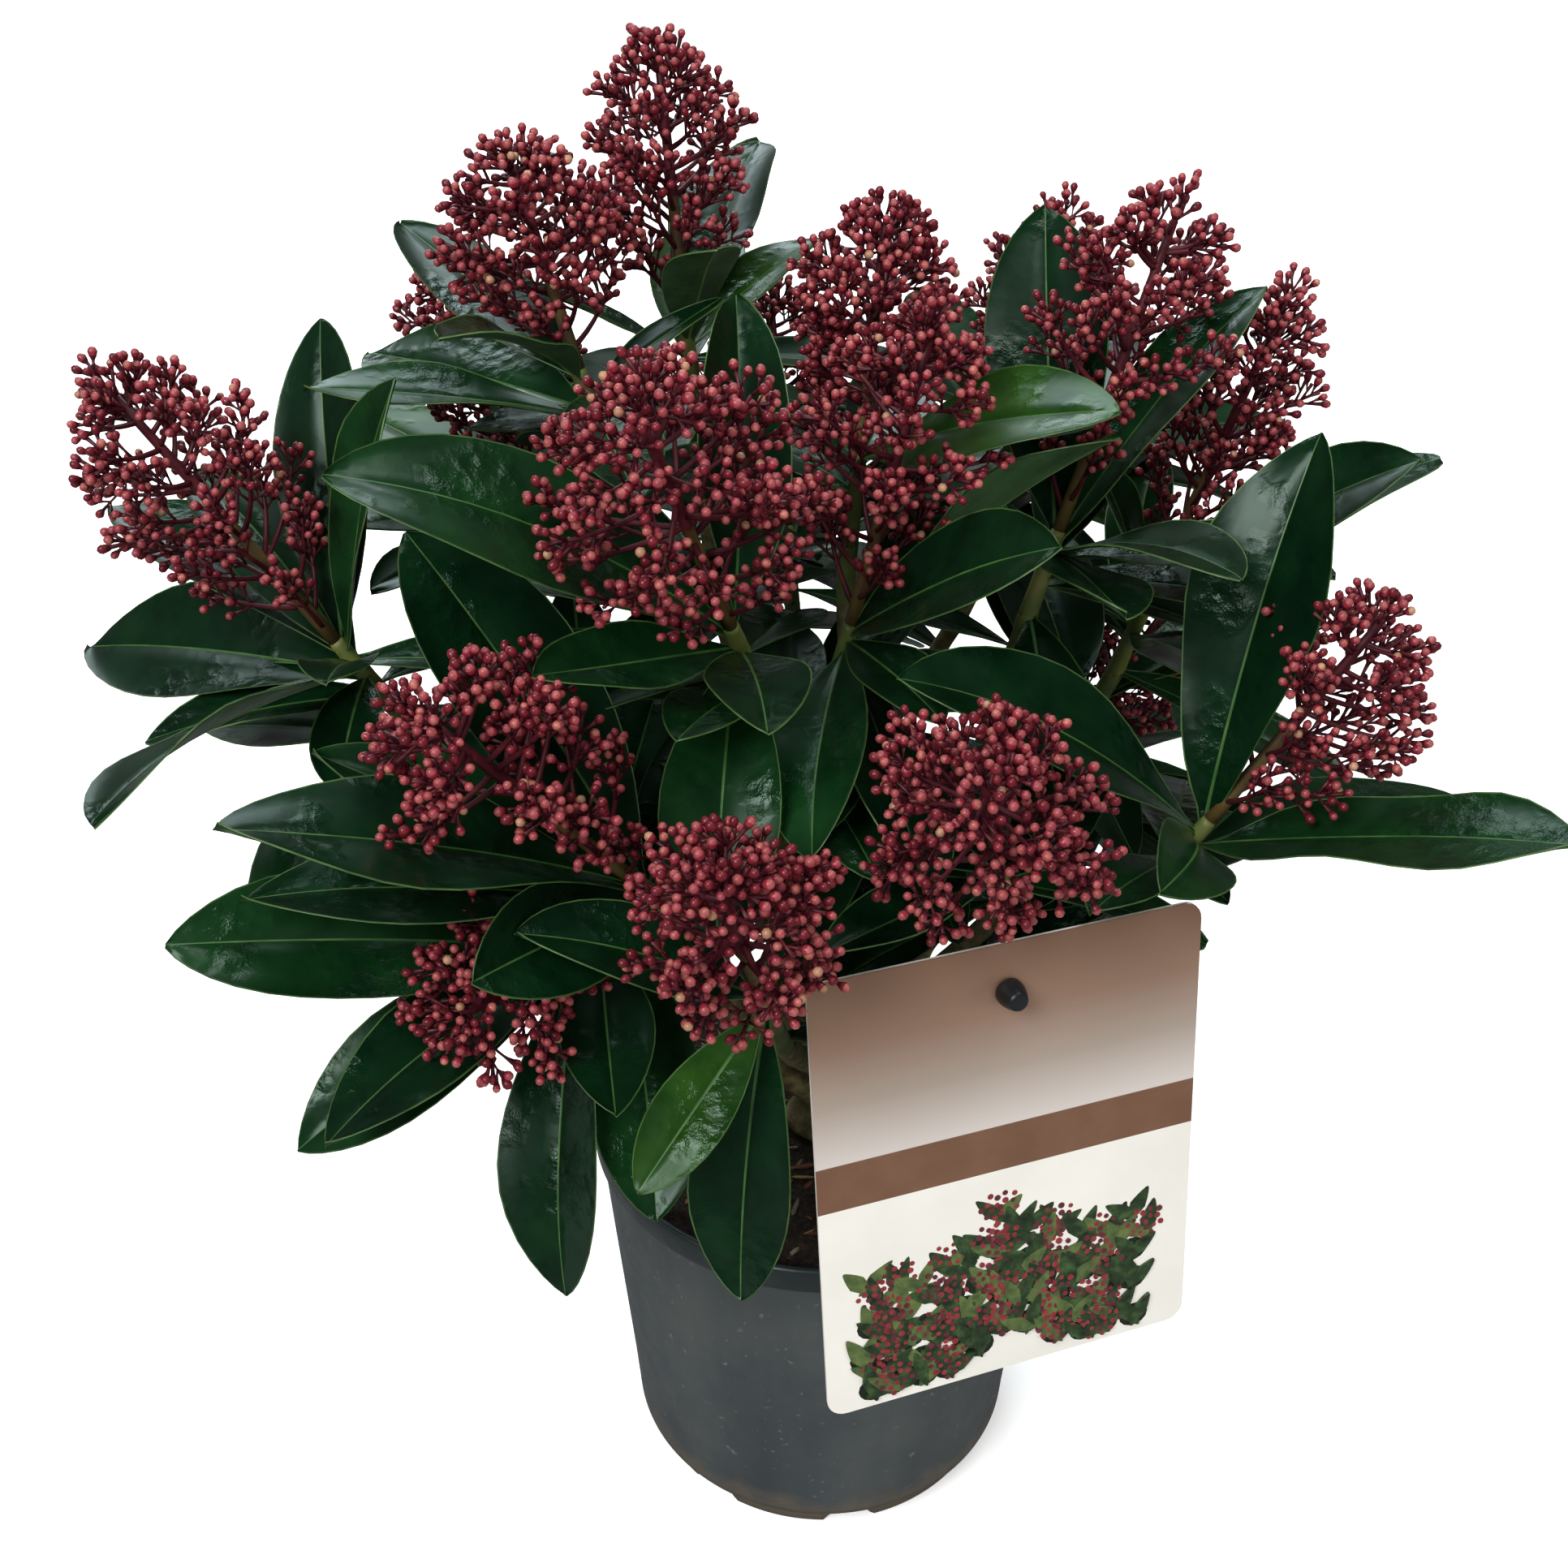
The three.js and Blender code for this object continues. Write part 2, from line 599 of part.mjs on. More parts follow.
// One spray as a slim stalk that swells into its cluster of buds.
function spraySolid({ from, to }) {
  const along = to.clone().sub(from).normalize();
  const side = along.clone().cross(new THREE.Vector3(0.31, 0.24, 0.92)).normalize();
  const other = along.clone().cross(side);
  const ring = (centre, radius) =>
    [0, 1, 2, 3].map((k) =>
      centre.clone()
        .addScaledVector(side, radius * Math.cos((k * Math.PI) / 2))
        .addScaledVector(other, radius * Math.sin((k * Math.PI) / 2)),
    );
  const base = to.clone().addScaledVector(along, -SWELL.base * CLUSTER_RADIUS);
  const end = to.clone().addScaledVector(along, SWELL.end * CLUSTER_RADIUS);
  const swell = [ring(from, 0.5 * SPRAY_RADIUS), ring(base, SPRAY_RADIUS), ring(to, CLUSTER_RADIUS), [end]];
  return solidOf(skin(swell));
}

// ---- Card and stick ----

function cardPoint(across, up, out) {
  return vector(CARD.centre)
    .addScaledVector(cardAxes.across, across)
    .addScaledVector(cardAxes.up, up)
    .addScaledVector(cardAxes.normal, out);
}

function cardGeometry() {
  const [w, h, r] = [CARD.width / 2, CARD.height / 2, CARD.corner];
  const shape = new THREE.Shape();
  shape.moveTo(-w + r, -h);
  shape.lineTo(w - r, -h);
  shape.absarc(w - r, -h + r, r, -Math.PI / 2, 0);
  shape.absarc(w - r, h - r, r, 0, Math.PI / 2);
  shape.absarc(-w + r, h - r, r, Math.PI / 2, Math.PI);
  shape.absarc(-w + r, -h + r, r, Math.PI, 1.5 * Math.PI);
  const hole = new THREE.Path();
  hole.absarc(CARD_HOLE.across, CARD_HOLE.up, CARD_HOLE.radius + GAP, 0, 2 * Math.PI);
  shape.holes.push(hole);
  const sheet = new THREE.ExtrudeGeometry(shape, { depth: CARD.thickness, bevelEnabled: false, curveSegments: 4 });
  const frame = new THREE.Matrix4().makeBasis(cardAxes.across, cardAxes.up, cardAxes.normal);
  return sheet.applyMatrix4(frame.setPosition(vector(CARD.centre)));
}

// The stick leans out of the soil to the back of the card, and its pin ends in a cone in front of the card.
function stickSolid(extra = 0) {
  const atHole = (out, up = 0) => cardPoint(CARD_HOLE.across, CARD_HOLE.up + up, out);
  const hub = atHole(-STICK_BEHIND);
  const thick = STICK_RADIUS + extra;
  const rod = stalk(vector(STICK_FOOT), hub, [thick, thick], 6);
  const neck = stalk(hub, atHole(-STICK_HEAD.behind, STICK_HEAD.up), [thick, STICK_HEAD.radius], 6);
  const pin = stalk(atHole(PIN.from), atHole(PIN.to), [PIN.radius, PIN.radius], 8);
  const knob = stalk(atHole(KNOB.from), atHole(KNOB.to), KNOB.radii, 10);
  return joined([rod, neck, pin, knob]);
}

// ---- Growing the plant ----

function limbPoints(curve, radiusAt, owner) {
  const steps = Math.ceil(curve.getLength() / 4);
  return Array.from({ length: steps + 1 }, (_, i) => ({
    point: curve.getPointAt(i / steps),
    radius: radiusAt(i / steps),
    owner,
  }));
}

function grow() {
  const curves = { trunk: trunkCurve() };
  const radii = { trunk: TRUNK_RADII.slice(1) };
  const limbs = limbPoints(curves.trunk, trunkRadius, "trunk");
  for (const shoot of SHOOTS) {
    const share = BOUGH_SHARE[shoot.parent] ?? BOUGH_SHARE.bough;
    const thick = share * THREE.MathUtils.lerp(...radii[shoot.parent], shoot.at);
    curves[shoot.name] = boughCurve(shoot, curves[shoot.parent]);
    radii[shoot.name] = [Math.max(thick, STEM_RADII[0]), STEM_RADII[0]];
    const straight = new THREE.LineCurve3(onAxis(shoot, -SHOOT_STEM), onAxis(shoot, shoot.head[2] * RACHIS_TOP));
    limbs.push(...limbPoints(curves[shoot.name], taper(radii[shoot.name]), shoot.name));
    limbs.push(...limbPoints(straight, taper([STEM_RADII[0], RACHIS_RADII[1]]), shoot.name));
  }
  const stick = new THREE.LineCurve3(vector(STICK_FOOT), cardPoint(0, CARD_HOLE.up, -STICK_BEHIND));
  limbs.push(...limbPoints(stick, () => STICK_RADIUS, "stick"));

  const leaves = [];
  SHOOTS.forEach((shoot, s) => {
    shoot.leaves.forEach((leaf, i) => {
      placeLeaf(shoot, KEY_LEAVES.first + KEY_LEAVES.step * i, leaf, 100 * s + i, leaves, limbs);
    });
  });
  SHOOTS.forEach((shoot, s) => {
    const dice = makeDice(5000 + s);
    const first = 360 * dice();
    for (let k = 0; k < shoot.fill; k += 1) {
      const heading = first + GOLDEN_ANGLE * k;
      const pitch = THREE.MathUtils.lerp(...FILL_LEAVES.pitch, dice());
      const length = THREE.MathUtils.lerp(...FILL_LEAVES.length, dice());
      const down = FILL_LEAVES.first + FILL_LEAVES.step * k;
      placeLeaf(shoot, down, [heading, pitch, length], 100 * s + 50 + k, leaves, limbs);
    }
  });
  return { curves, radii, limbs, leaves };
}

const plant = grow();
const group = new THREE.Group();

function addNode(name, solid, material) {
  const mesh = new THREE.Mesh(geometryOf(solid), material);
  mesh.name = name;
  group.add(mesh);
}

function trunkSolid(extra = 0) {
  return solidOf(limb(plant.curves.trunk, TRUNK_STEPS, TRUNK_SIDES, (t) => trunkRadius(t) + extra));
}

function boughSolid(name, extra = 0) {
  return solidOf(limb(plant.curves[name], BOUGH_STEPS, BOUGH_SIDES, taper(plant.radii[name], extra)));
}

// A bough with its parent's wood cut away, so that it starts a clear gap from the parent's side.
function clearedBough(shoot) {
  const parent = shoot.parent === "trunk" ? trunkSolid(GAP) : boughSolid(shoot.parent, GAP);
  return largest(boughSolid(shoot.name).subtract(parent));
}

// The leafy stem with its leaves fused on; room is cut for the flower head's own rachis.
function foliageSolid(shoot) {
  const stem = stalk(onAxis(shoot, -SHOOT_STEM), onAxis(shoot, 0), STEM_RADII, 6);
  const blades = plant.leaves.filter((leaf) => leaf.owner === shoot.name).map(leafSolid);
  const room = RACHIS_RADII.map((radius) => radius + GAP);
  const rachis = stalk(onAxis(shoot, 0.5 * GAP), onAxis(shoot, shoot.head[2]), room, 6);
  return largest(joined([stem, ...blades]).subtract(rachis));
}

// The rachis with every spray that keeps clear of leaves, wood, the card and the clusters placed before it.
function flowerSolid(shoot, seed, placed) {
  const length = shoot.head[2];
  const pieces = [stalk(onAxis(shoot, GAP), onAxis(shoot, length * RACHIS_SHARE), RACHIS_RADII, 3)];
  const crown = {
    from: onAxis(shoot, CROWN_FROM * length),
    to: onAxis(shoot, length - SWELL.end * CLUSTER_RADIUS),
  };
  const mine = [];
  for (const spray of [crown, ...headSprays(shoot, seed)]) {
    if (sprayBlocked(spray, shoot.name, plant.leaves, plant.limbs)) continue;
    if (clusterBlocked(spray.to, shoot.name, plant.leaves, plant.limbs, placed)) continue;
    if (mine.some((other) => other.distanceTo(spray.to) < CLUSTER_SPACING)) continue;
    pieces.push(spraySolid(spray));
    mine.push(spray.to);
  }
  placed.push(...mine);
  return largest(joined(pieces));
}

addNode("pot", potSolid(), MATERIALS.pot);
addNode("soil", soilSolid(stickSolid(GAP)), MATERIALS.soil);
addNode("trunk", trunkSolid(), MATERIALS.bark);
addNode("label_stick", stickSolid(), MATERIALS.stick);
addNode("label_card", solidOf(cardGeometry()), MATERIALS.card);

const placed = [];
SHOOTS.forEach((shoot, s) => {
  const foliage = new THREE.MeshStandardMaterial({ color: LEAF_GREEN, roughness: 0.3, metalness: 0 });
  const blossom = new THREE.MeshStandardMaterial({ color: BUD_RED, roughness: 0.45, metalness: 0 });
  addNode(`bough_${shoot.name}`, clearedBough(shoot), MATERIALS.bark);
  addNode(`leaves_${shoot.name}`, foliageSolid(shoot), foliage);
  addNode(`flowers_${shoot.name}`, flowerSolid(shoot, 900 + s, placed), blossom);
});

export default group;
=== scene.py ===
import json
import math

import bmesh
import bpy
import numpy as np
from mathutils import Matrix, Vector, noise

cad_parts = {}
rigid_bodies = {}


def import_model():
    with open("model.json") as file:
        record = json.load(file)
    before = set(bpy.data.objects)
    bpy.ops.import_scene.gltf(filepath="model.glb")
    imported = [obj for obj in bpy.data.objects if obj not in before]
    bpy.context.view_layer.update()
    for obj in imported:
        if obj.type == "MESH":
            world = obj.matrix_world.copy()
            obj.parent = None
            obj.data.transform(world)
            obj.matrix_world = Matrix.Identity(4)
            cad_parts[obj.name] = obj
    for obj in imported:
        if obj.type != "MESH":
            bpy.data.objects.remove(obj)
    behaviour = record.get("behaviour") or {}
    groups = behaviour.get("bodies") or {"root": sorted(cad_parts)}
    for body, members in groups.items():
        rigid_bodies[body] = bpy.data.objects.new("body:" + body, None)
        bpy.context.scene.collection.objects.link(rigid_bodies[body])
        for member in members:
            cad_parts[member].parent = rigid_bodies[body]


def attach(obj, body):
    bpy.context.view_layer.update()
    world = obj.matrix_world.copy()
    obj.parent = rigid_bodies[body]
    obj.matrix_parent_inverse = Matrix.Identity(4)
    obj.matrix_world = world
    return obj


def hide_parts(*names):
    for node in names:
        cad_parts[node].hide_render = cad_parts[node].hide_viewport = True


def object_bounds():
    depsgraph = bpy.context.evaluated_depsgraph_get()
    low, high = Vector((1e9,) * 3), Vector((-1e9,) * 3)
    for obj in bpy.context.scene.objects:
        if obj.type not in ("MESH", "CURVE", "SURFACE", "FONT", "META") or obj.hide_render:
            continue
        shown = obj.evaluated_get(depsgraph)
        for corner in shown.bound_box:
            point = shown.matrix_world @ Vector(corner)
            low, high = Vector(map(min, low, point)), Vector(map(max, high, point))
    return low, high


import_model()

cad_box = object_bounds()
MM = 0.001
SEEDS = {"fill": 5000, "inner": 3000, "late": 4000, "blades": 7000, "head": 900, "chips": 31, "print": 77}
BOX_LOW, BOX_HIGH = (np.array(corner, float) / MM for corner in cad_box)

# ---- Sizes shared with the solids ----

POT_HEIGHT = 154
RIM_RADIUS = 85
RIM_BAND = 10
FOOT_RADIUS = 69
WALL = 1.8
FOOT_HEIGHT = 4
PAD_RADIUS = 30
NOTCH_WIDTH = 13
NOTCH_COUNT = 8
FIRST_NOTCH = -82
SOIL_TOP = 145
GAP = 0.3

TRUNK_TOP = 202
TRUNK_RADII = [15, 9.5, 6.5]
TRUNK_LEAN = [5, -3]
FLARE_POWER = 8
BOUGH_SHARE = {"trunk": 0.62, "bough": 0.86}
BOUGH_HANDLES = [0.42, 0.3]
BOUGH_SET_OUT = 0.5 * TRUNK_RADII[2]
SHOOT_STEM = 28
STEM_RADII = [3.1, 2.5]
RACHIS_RADII = [2.2, 1.3]

LEAF_SHARE = 0.36
LEAF_SWELL = {"rise": 1.1, "fall": 0.75, "peak": 0.2868}
LEAF_VARIES = {"share": 0.05, "arch": [0.01, 0.05], "fold": [0.14, 0.16]}
LEAF_GAP = 2.2
BLADE_FROM = {"leaf": 0.12, "spray": 0.06}
MARGIN = 3
KEY_LEAVES = {"first": 3, "step": 2.4}
FILL_LEAVES = {"first": 8, "step": 2.6, "pitch": [34, -10], "length": [76, 102]}
GOLDEN_ANGLE = 137.5

CLUSTER_RADIUS = 8
SPRAYS = 14
SPRAY_SPAN = [0.26, 0.84]
SPRAY_RISE = [0.2, 0.045]
SPRAY_REACH = {"least": 0.86, "more": 0.2, "inset": 0.6 * CLUSTER_RADIUS}
SPRAY_TURN = 40
HEAD_BELL = {"start": 0.2, "span": 0.74, "power": 0.8}
SWELL_END = 0.8
CROWN_FROM = 0.7
RACHIS_TOP = 0.9

CARD = {
    "width": 120, "height": 150, "thickness": 0.9, "corner": 6,
    "centre": [51, -112, 230], "yaw": 19, "tilt": -9,
}
CARD_HOLE = {"across": -1, "up": 60, "radius": 2.2}
STICK_RADIUS = 1.9
STICK_FOOT = [37, -54, 112]
STICK_BEHIND = 4.5
STICK_HEAD = {"up": 14, "behind": 5, "radius": 3.2}
KNOB = {"from": 1.4, "to": 9, "radii": [4.2, 1.6]}

# Each shoot: its name, its bough's parent, how far along the parent the bough leaves and by which side.
# tip is the top of its leafy stem; head is the flower head's heading, pitch, length and width; fill is how
# many leaves are grown beside its own; a leaf is heading, pitch, length and, where it isn't level, roll.
SHOOT_FIELDS = ["name", "parent", "at", "side", "tip", "head", "fill", "leaves"]
SHOOT_ROWS = [
    ["top", "trunk", 0.95, [125, 56], [-46, 60, 424], [118, 80, 89, 50], 0, [
        [75, 27, 94, -15], [-76, 44, 64, 10], [46, 21, 70, -10], [-160, 30, 60], [88, 13, 92],
    ]],
    ["upper_left", "top", 0.4, [170, 55], [-76, 20, 424], [147, 71, 68, 58], 1, [
        [-114, 27, 78, -5], [134, 20, 96], [20, 30, 50], [75, -8, 76], [141, -2, 103, -14],
    ]],
    ["far_left", "trunk", 0.58, [184, 42], [-152, -10, 349], [-178, 57, 106, 60], 2, [
        [99, 57, 102, -35], [-9, 75, 92, 35], [152, 20, 98], [-83, 25, 66], [-117, 7, 112, 30],
        [156, -7, 115, -32],
    ]],
    ["centre", "trunk", 0.9, [-75, 58], [5, -20, 360], [8, 77, 100, 66], 1, [
        [-48, 37, 92, 40], [-67, 6, 62, 10], [-98, -10, 88, 25], [-76, -14, 92, -30], [12, 46, 104, -40],
        [70, 24, 80],
    ]],
    ["centre_left", "centre", 0.55, [-110, 62], [-30, -50, 375], [-118, 61, 100, 74], 1, [
        [90, 48, 100, 42], [-158, 33, 124, -26], [156, 5, 108, -5], [-134, 15, 76, -20], [-90, 16, 80],
    ]],
    ["centre_back", "centre", 0.42, [60, 66], [8, 22, 397], [62, 78, 76, 52], 3, [
        [-50, 24, 100, 25], [74, 4, 82, 10], [8, 20, 60],
    ]],
    ["upper_right", "trunk", 0.84, [16, 52], [71, 20, 372], [28, 71, 110, 66], 4, [
        [91, 50, 110, -15], [22, 50, 100, -5], [-84, 13, 84, -15], [-25, 10, 88],
    ]],
    ["high_right", "upper_right", 0.5, [25, 45], [108, 50, 332], [-2, 73, 118, 46], 0, [
        [-30, 42, 106, 25], [9, 29, 112], [-136, 58, 70, -65], [77, 38, 70, -30], [-60, 5, 56],
        [120, 12, 84], [80, -12, 88],
    ]],
    ["far_right", "trunk", 0.55, [-24, 45], [112, -50, 310], [4, 58, 86, 66], 0, [
        [54, 62, 119, -10], [-166, 36, 116, -20], [-116, 22, 70, -35], [-39, 24, 116, 5], [16, 4, 92, -15],
        [-126, 8, 60], [75, -14, 84],
    ]],
    ["front", "trunk", 0.42, [-98, 48], [-21, -110, 291], [-102, 57, 93, 56], 0, [
        [-157, 34, 80, -15], [60, 30, 70], [-130, -30, 62, -25], [-90, -68, 86, 10],
    ]],
    ["front_right", "front", 0.4, [-60, 50], [46, -80, 312], [-104, 50, 92, 66], 0, [
        [165, 15, 70], [-146, -1, 62], [100, 4, 76],
    ]],
    ["low_left", "trunk", 0.24, [-148, 42], [-77, -80, 282], [-119, 16, 60, 56], 2, [
        [-95, -54, 100, 30], [-161, 15, 117, -32], [-132, -5, 96], [-145, -17, 101, -12],
        [-170, -20, 66, -15], [-82, -2, 72],
    ]],
    ["front_left", "low_left", 0.45, [-115, 58], [-56, -90, 316], [-147, 52, 102, 66], 2, [
        [-152, 26, 122, -8], [76, 11, 80, -20], [174, 31, 101], [-128, 16, 80, -45], [-169, 10, 114],
    ]],
    ["back_left", "trunk", 0.76, [138, 48], [-98, 84, 352], [140, 62, 94, 60], 3, [
        [150, 14, 108], [100, 20, 104], [-175, 8, 96], [60, 34, 86], [125, -16, 100],
    ]],
    ["back", "trunk", 0.5, [98, 46], [-14, 116, 330], [98, 60, 92, 60], 4, [
        [95, 4, 112], [140, -18, 98], [50, -12, 100], [-160, 30, 80], [105, -40, 92],
    ]],
    ["back_right", "back", 0.42, [52, 50], [66, 108, 362], [62, 64, 92, 56], 4, [
        [60, 12, 108], [10, 6, 104], [110, 26, 96], [-10, -20, 84], [85, -14, 96],
    ]],
    ["low_back", "trunk", 0.3, [40, 38], [84, 56, 268], [38, 40, 74, 50], 3, [
        [38, -14, 104], [0, -22, 98], [80, -20, 98], [-40, 6, 88], [20, -52, 88],
    ]],
]
SHOOTS = [dict(zip(SHOOT_FIELDS, row)) for row in SHOOT_ROWS]


# ---- Small helpers ----


def vector(values):
    return np.array(values, float)


def unit(v):
    return v / np.linalg.norm(v)


def lerp(a, b, t):
    return a + (b - a) * t


def direction(heading, pitch):
    """A unit vector from a compass heading in the XY plane and a pitch above it, in degrees."""
    h, p = math.radians(heading), math.radians(pitch)
    return vector([math.cos(p) * math.cos(h), math.cos(p) * math.sin(h), math.sin(p)])


def around(side, other, angle):
    """What lies at an angle from side towards other."""
    return side * math.cos(angle) + other * math.sin(angle)


def turned(v, axis, angle):
    """v turned about a unit axis that is square to it."""
    return around(v, np.cross(axis, v), angle)


def square_to(axis):
    """Two unit vectors square to a unit axis and to each other."""
    side = unit(np.cross(axis, vector([0.31, 0.24, 0.92])))
    return side, np.cross(axis, side)


def circle(count):
    """Evenly spread angles, once round."""
    return [2 * math.pi * k / count for k in range(count)]


class Dice:
    """Seeded numbers from 0 to 1, the same ones on every run."""

    def __init__(self, seed):
        self.state = seed * 7919 + 12345
        self.roll()
        self.roll()

    def roll(self):
        self.state = (1664525 * self.state + 1013904223) % 4294967296
        return self.state / 4294967296

    def between(self, low, high):
        return lerp(low, high, self.roll())


class Curve:
    """A Bezier curve of any order, read by its length: share 0 is its start and 1 its end."""

    def __init__(self, *points):
        self.points = [vector(p) for p in points]
        self.t = np.linspace(0, 1, 201)
        steps = np.diff(self.bezier(self.t), axis=0)
        self.lengths = np.concatenate([[0], np.cumsum(np.linalg.norm(steps, axis=1))])
        self.length = self.lengths[-1]

    def bezier(self, t):
        order = len(self.points) - 1
        t = np.asarray(t, float)[..., None]
        return sum(math.comb(order, i) * (1 - t) ** (order - i) * t**i * p for i, p in enumerate(self.points))

    def point(self, share):
        return self.bezier(np.interp(np.asarray(share) * self.length, self.lengths, self.t))

    def points_along(self, spacing):
        count = math.ceil(self.length / spacing)
        return self.point(np.linspace(0, 1, count + 1))


# ---- The growth rule: trunk, boughs and leaves ----


def trunk_curve():
    foot = [0, 0, SOIL_TOP + GAP]
    return Curve(foot, [0, 0, (SOIL_TOP + TRUNK_TOP) / 2], [*TRUNK_LEAN, TRUNK_TOP])


def trunk_radius(t):
    """The trunk spreads at its foot and then tapers evenly."""
    flare, foot, top = TRUNK_RADII
    return lerp(foot, top, t) + (flare - foot) * (1 - t) ** FLARE_POWER


def on_axis(shoot, distance):
    """A point on the line of a shoot's leafy stem and rachis, measured from the top of the stem."""
    return vector(shoot["tip"]) + distance * direction(*shoot["head"][:2])


def bough_curve(shoot, parent):
    """Out of its parent's axis by its own side, then in line with the shoot's leafy stem."""
    start = parent.point(shoot["at"])
    if shoot["parent"] == "trunk":
        start = start + BOUGH_SET_OUT * direction(shoot["side"][0], 0)
    end = on_axis(shoot, -SHOOT_STEM - GAP)
    reach = np.linalg.norm(end - start)
    out = start + BOUGH_HANDLES[0] * reach * direction(*shoot["side"])
    back = end - BOUGH_HANDLES[1] * reach * direction(*shoot["head"][:2])
    return Curve(start, out, back, end)


class Leaf:
    """A blade from its root along a heading and pitch; its own x runs along it, y across and z over it."""

    def __init__(self, shoot, down, heading, pitch, length, roll, rolls):
        self.owner = shoot["name"]
        self.root = on_axis(shoot, -down)
        self.along = direction(heading, pitch)
        self.normal = turned(direction(heading, pitch + 90), self.along, math.radians(roll))
        self.across = np.cross(self.normal, self.along)
        self.length = length
        self.width = length * (LEAF_SHARE + LEAF_VARIES["share"] * (rolls.roll() - 0.5))
        self.arch = length * (LEAF_VARIES["arch"][0] + LEAF_VARIES["arch"][1] * rolls.roll())
        self.fold = LEAF_VARIES["fold"][0] + LEAF_VARIES["fold"][1] * rolls.roll()
        self.net = self.on(SAMPLE_T[:, None], SAMPLE_Y[None, :])
        self.middle = self.on(0.5, 0)

    def move_root(self, root):
        self.net += root - self.root
        self.middle += root - self.root
        self.root = root

    def half(self, t):
        """Half the blade's width at a share t of its length: widest past the middle, pointed at both ends."""
        swell = np.power(t, LEAF_SWELL["rise"]) * np.power(1 - np.asarray(t), LEAF_SWELL["fall"])
        return 0.5 * self.width * swell / LEAF_SWELL["peak"]

    def height(self, t, y):
        """An arch along the leaf, and a shallow fold up from the midrib."""
        return 4 * self.arch * t * (1 - t) + self.fold * np.abs(y)

    def place(self, x, y, z):
        x, y, z = np.broadcast_arrays(x, y, z)
        return self.root + x[..., None] * self.along + y[..., None] * self.across + z[..., None] * self.normal

    def on(self, t, share):
        y = share * self.half(t)
        return self.place(t * self.length, y, self.height(t, y))

    def over(self, points, margin, start=BLADE_FROM["leaf"]):
        """How far points lie over the blade, and nan where they aren't within margin of its outline."""
        away = points - self.root
        x, y, z = away @ self.along, away @ self.across, away @ self.normal
        t = x / self.length
        inside = (t >= start) & (t <= 1 + margin / self.length)
        inside &= np.abs(y) <= self.half(np.clip(t, 0, 0.97)) + margin
        return np.where(inside, z - self.height(np.minimum(t, 1), y), np.nan)


SAMPLE_T = vector([0.16, 0.3, 0.44, 0.58, 0.72, 0.86, 1])
SAMPLE_Y = vector([-1, -0.5, 0, 0.5, 1])

# Along a leaf, where it starts to count as meeting the leaves and the wood of its own shoot.
OWN_FROM = {"leaf": 0.3, "wood": 0.22}


def blade_meets(leaf, other, gap):
    """True where the sampled net of one blade meets or passes through another."""
    start = OWN_FROM["leaf"] if leaf.owner == other.owner else BLADE_FROM["leaf"]
    net = leaf.on(np.maximum(SAMPLE_T, start)[:, None], SAMPLE_Y[None, :])
    over = other.over(net, MARGIN, start)
    with np.errstate(invalid="ignore"):
        close = np.abs(over) < gap
        through = (over[1:] * over[:-1] < 0).any() or (over[:, 1:] * over[:, :-1] < 0).any()
    return bool(close.any() or through)


CARD_ACROSS = direction(CARD["yaw"], 0)
CARD_UP = turned(vector([0, 0, 1]), CARD_ACROSS, math.radians(CARD["tilt"]))
CARD_NORMAL = np.cross(CARD_ACROSS, CARD_UP)


def card_point(across, up, out):
    return vector(CARD["centre"]) + across * CARD_ACROSS + up * CARD_UP + out * CARD_NORMAL


def over_card(points, margin):
    """How far points lie in front of or behind the card, and nan beside it."""
    away = points - vector(CARD["centre"])
    beside = np.abs(away @ CARD_ACROSS) > CARD["width"] / 2 + margin
    beside |= np.abs(away @ CARD_UP) > CARD["height"] / 2 + margin
    return np.where(beside, np.nan, away @ CARD_NORMAL)


def in_pot(points, margin):
    out = np.hypot(points[..., 0], points[..., 1])
    return (points[..., 2] < POT_HEIGHT + margin) & (out < RIM_RADIUS + margin)


class Wood:
    """Points along every limb and the stick, with the radius and owner at each."""

    def __init__(self):
        self.points, self.radii, self.owners = [], [], []

    def add(self, curve, radius_at, owner):
        steps = math.ceil(curve.length / 4)
        shares = np.linspace(0, 1, steps + 1)
        self.points.extend(curve.point(shares))
        self.radii.extend(radius_at(share) for share in shares)
        self.owners.extend([owner] * len(shares))

    def close(self):
        self.points, self.radii, self.owners = vector(self.points), vector(self.radii), np.array(self.owners)


def taper(radii):
    return lambda t: lerp(radii[0], radii[1], t)


def leaf_blocked(leaf, leaves, wood, gap):
    for other in leaves:
        reach = 0.5 * (leaf.length + other.length) + LEAF_GAP
        if np.linalg.norm(leaf.middle - other.middle) > reach:
            continue
        if blade_meets(leaf, other, gap) or blade_meets(other, leaf, gap):
            return True
    start = np.where(wood.owners == leaf.owner, OWN_FROM["wood"], BLADE_FROM["leaf"])
    over = leaf.over(wood.points, wood.radii + 1, start)
    if (np.abs(over) < wood.radii + gap).any():
        return True
    sides = over_card(leaf.net.reshape(-1, 3), MARGIN)
    sides = sides[~np.isnan(sides)]
    if len(sides) and ((np.abs(sides) < MARGIN + 1).any() or (sides * sides[0] < 0).any()):
        return True
    return bool(in_pot(leaf.net, MARGIN).any())


# Leaves in their first season, which are a lighter, yellower green: their places in their shoot's list.
YOUNG_LEAVES = {
    "front": [2], "top": [2, 4], "centre": [4], "centre_back": [0], "back_left": [0], "back_right": [3],
}

# Small turns of heading and pitch that are tried, in this order, where a leaf would touch something.
NUDGES = [[0, 0], [6, 0], [-6, 0], [0, 7], [0, -7], [12, 4], [-12, 4], [10, -8], [-10, -8], [18, 0], [-18, 0]]


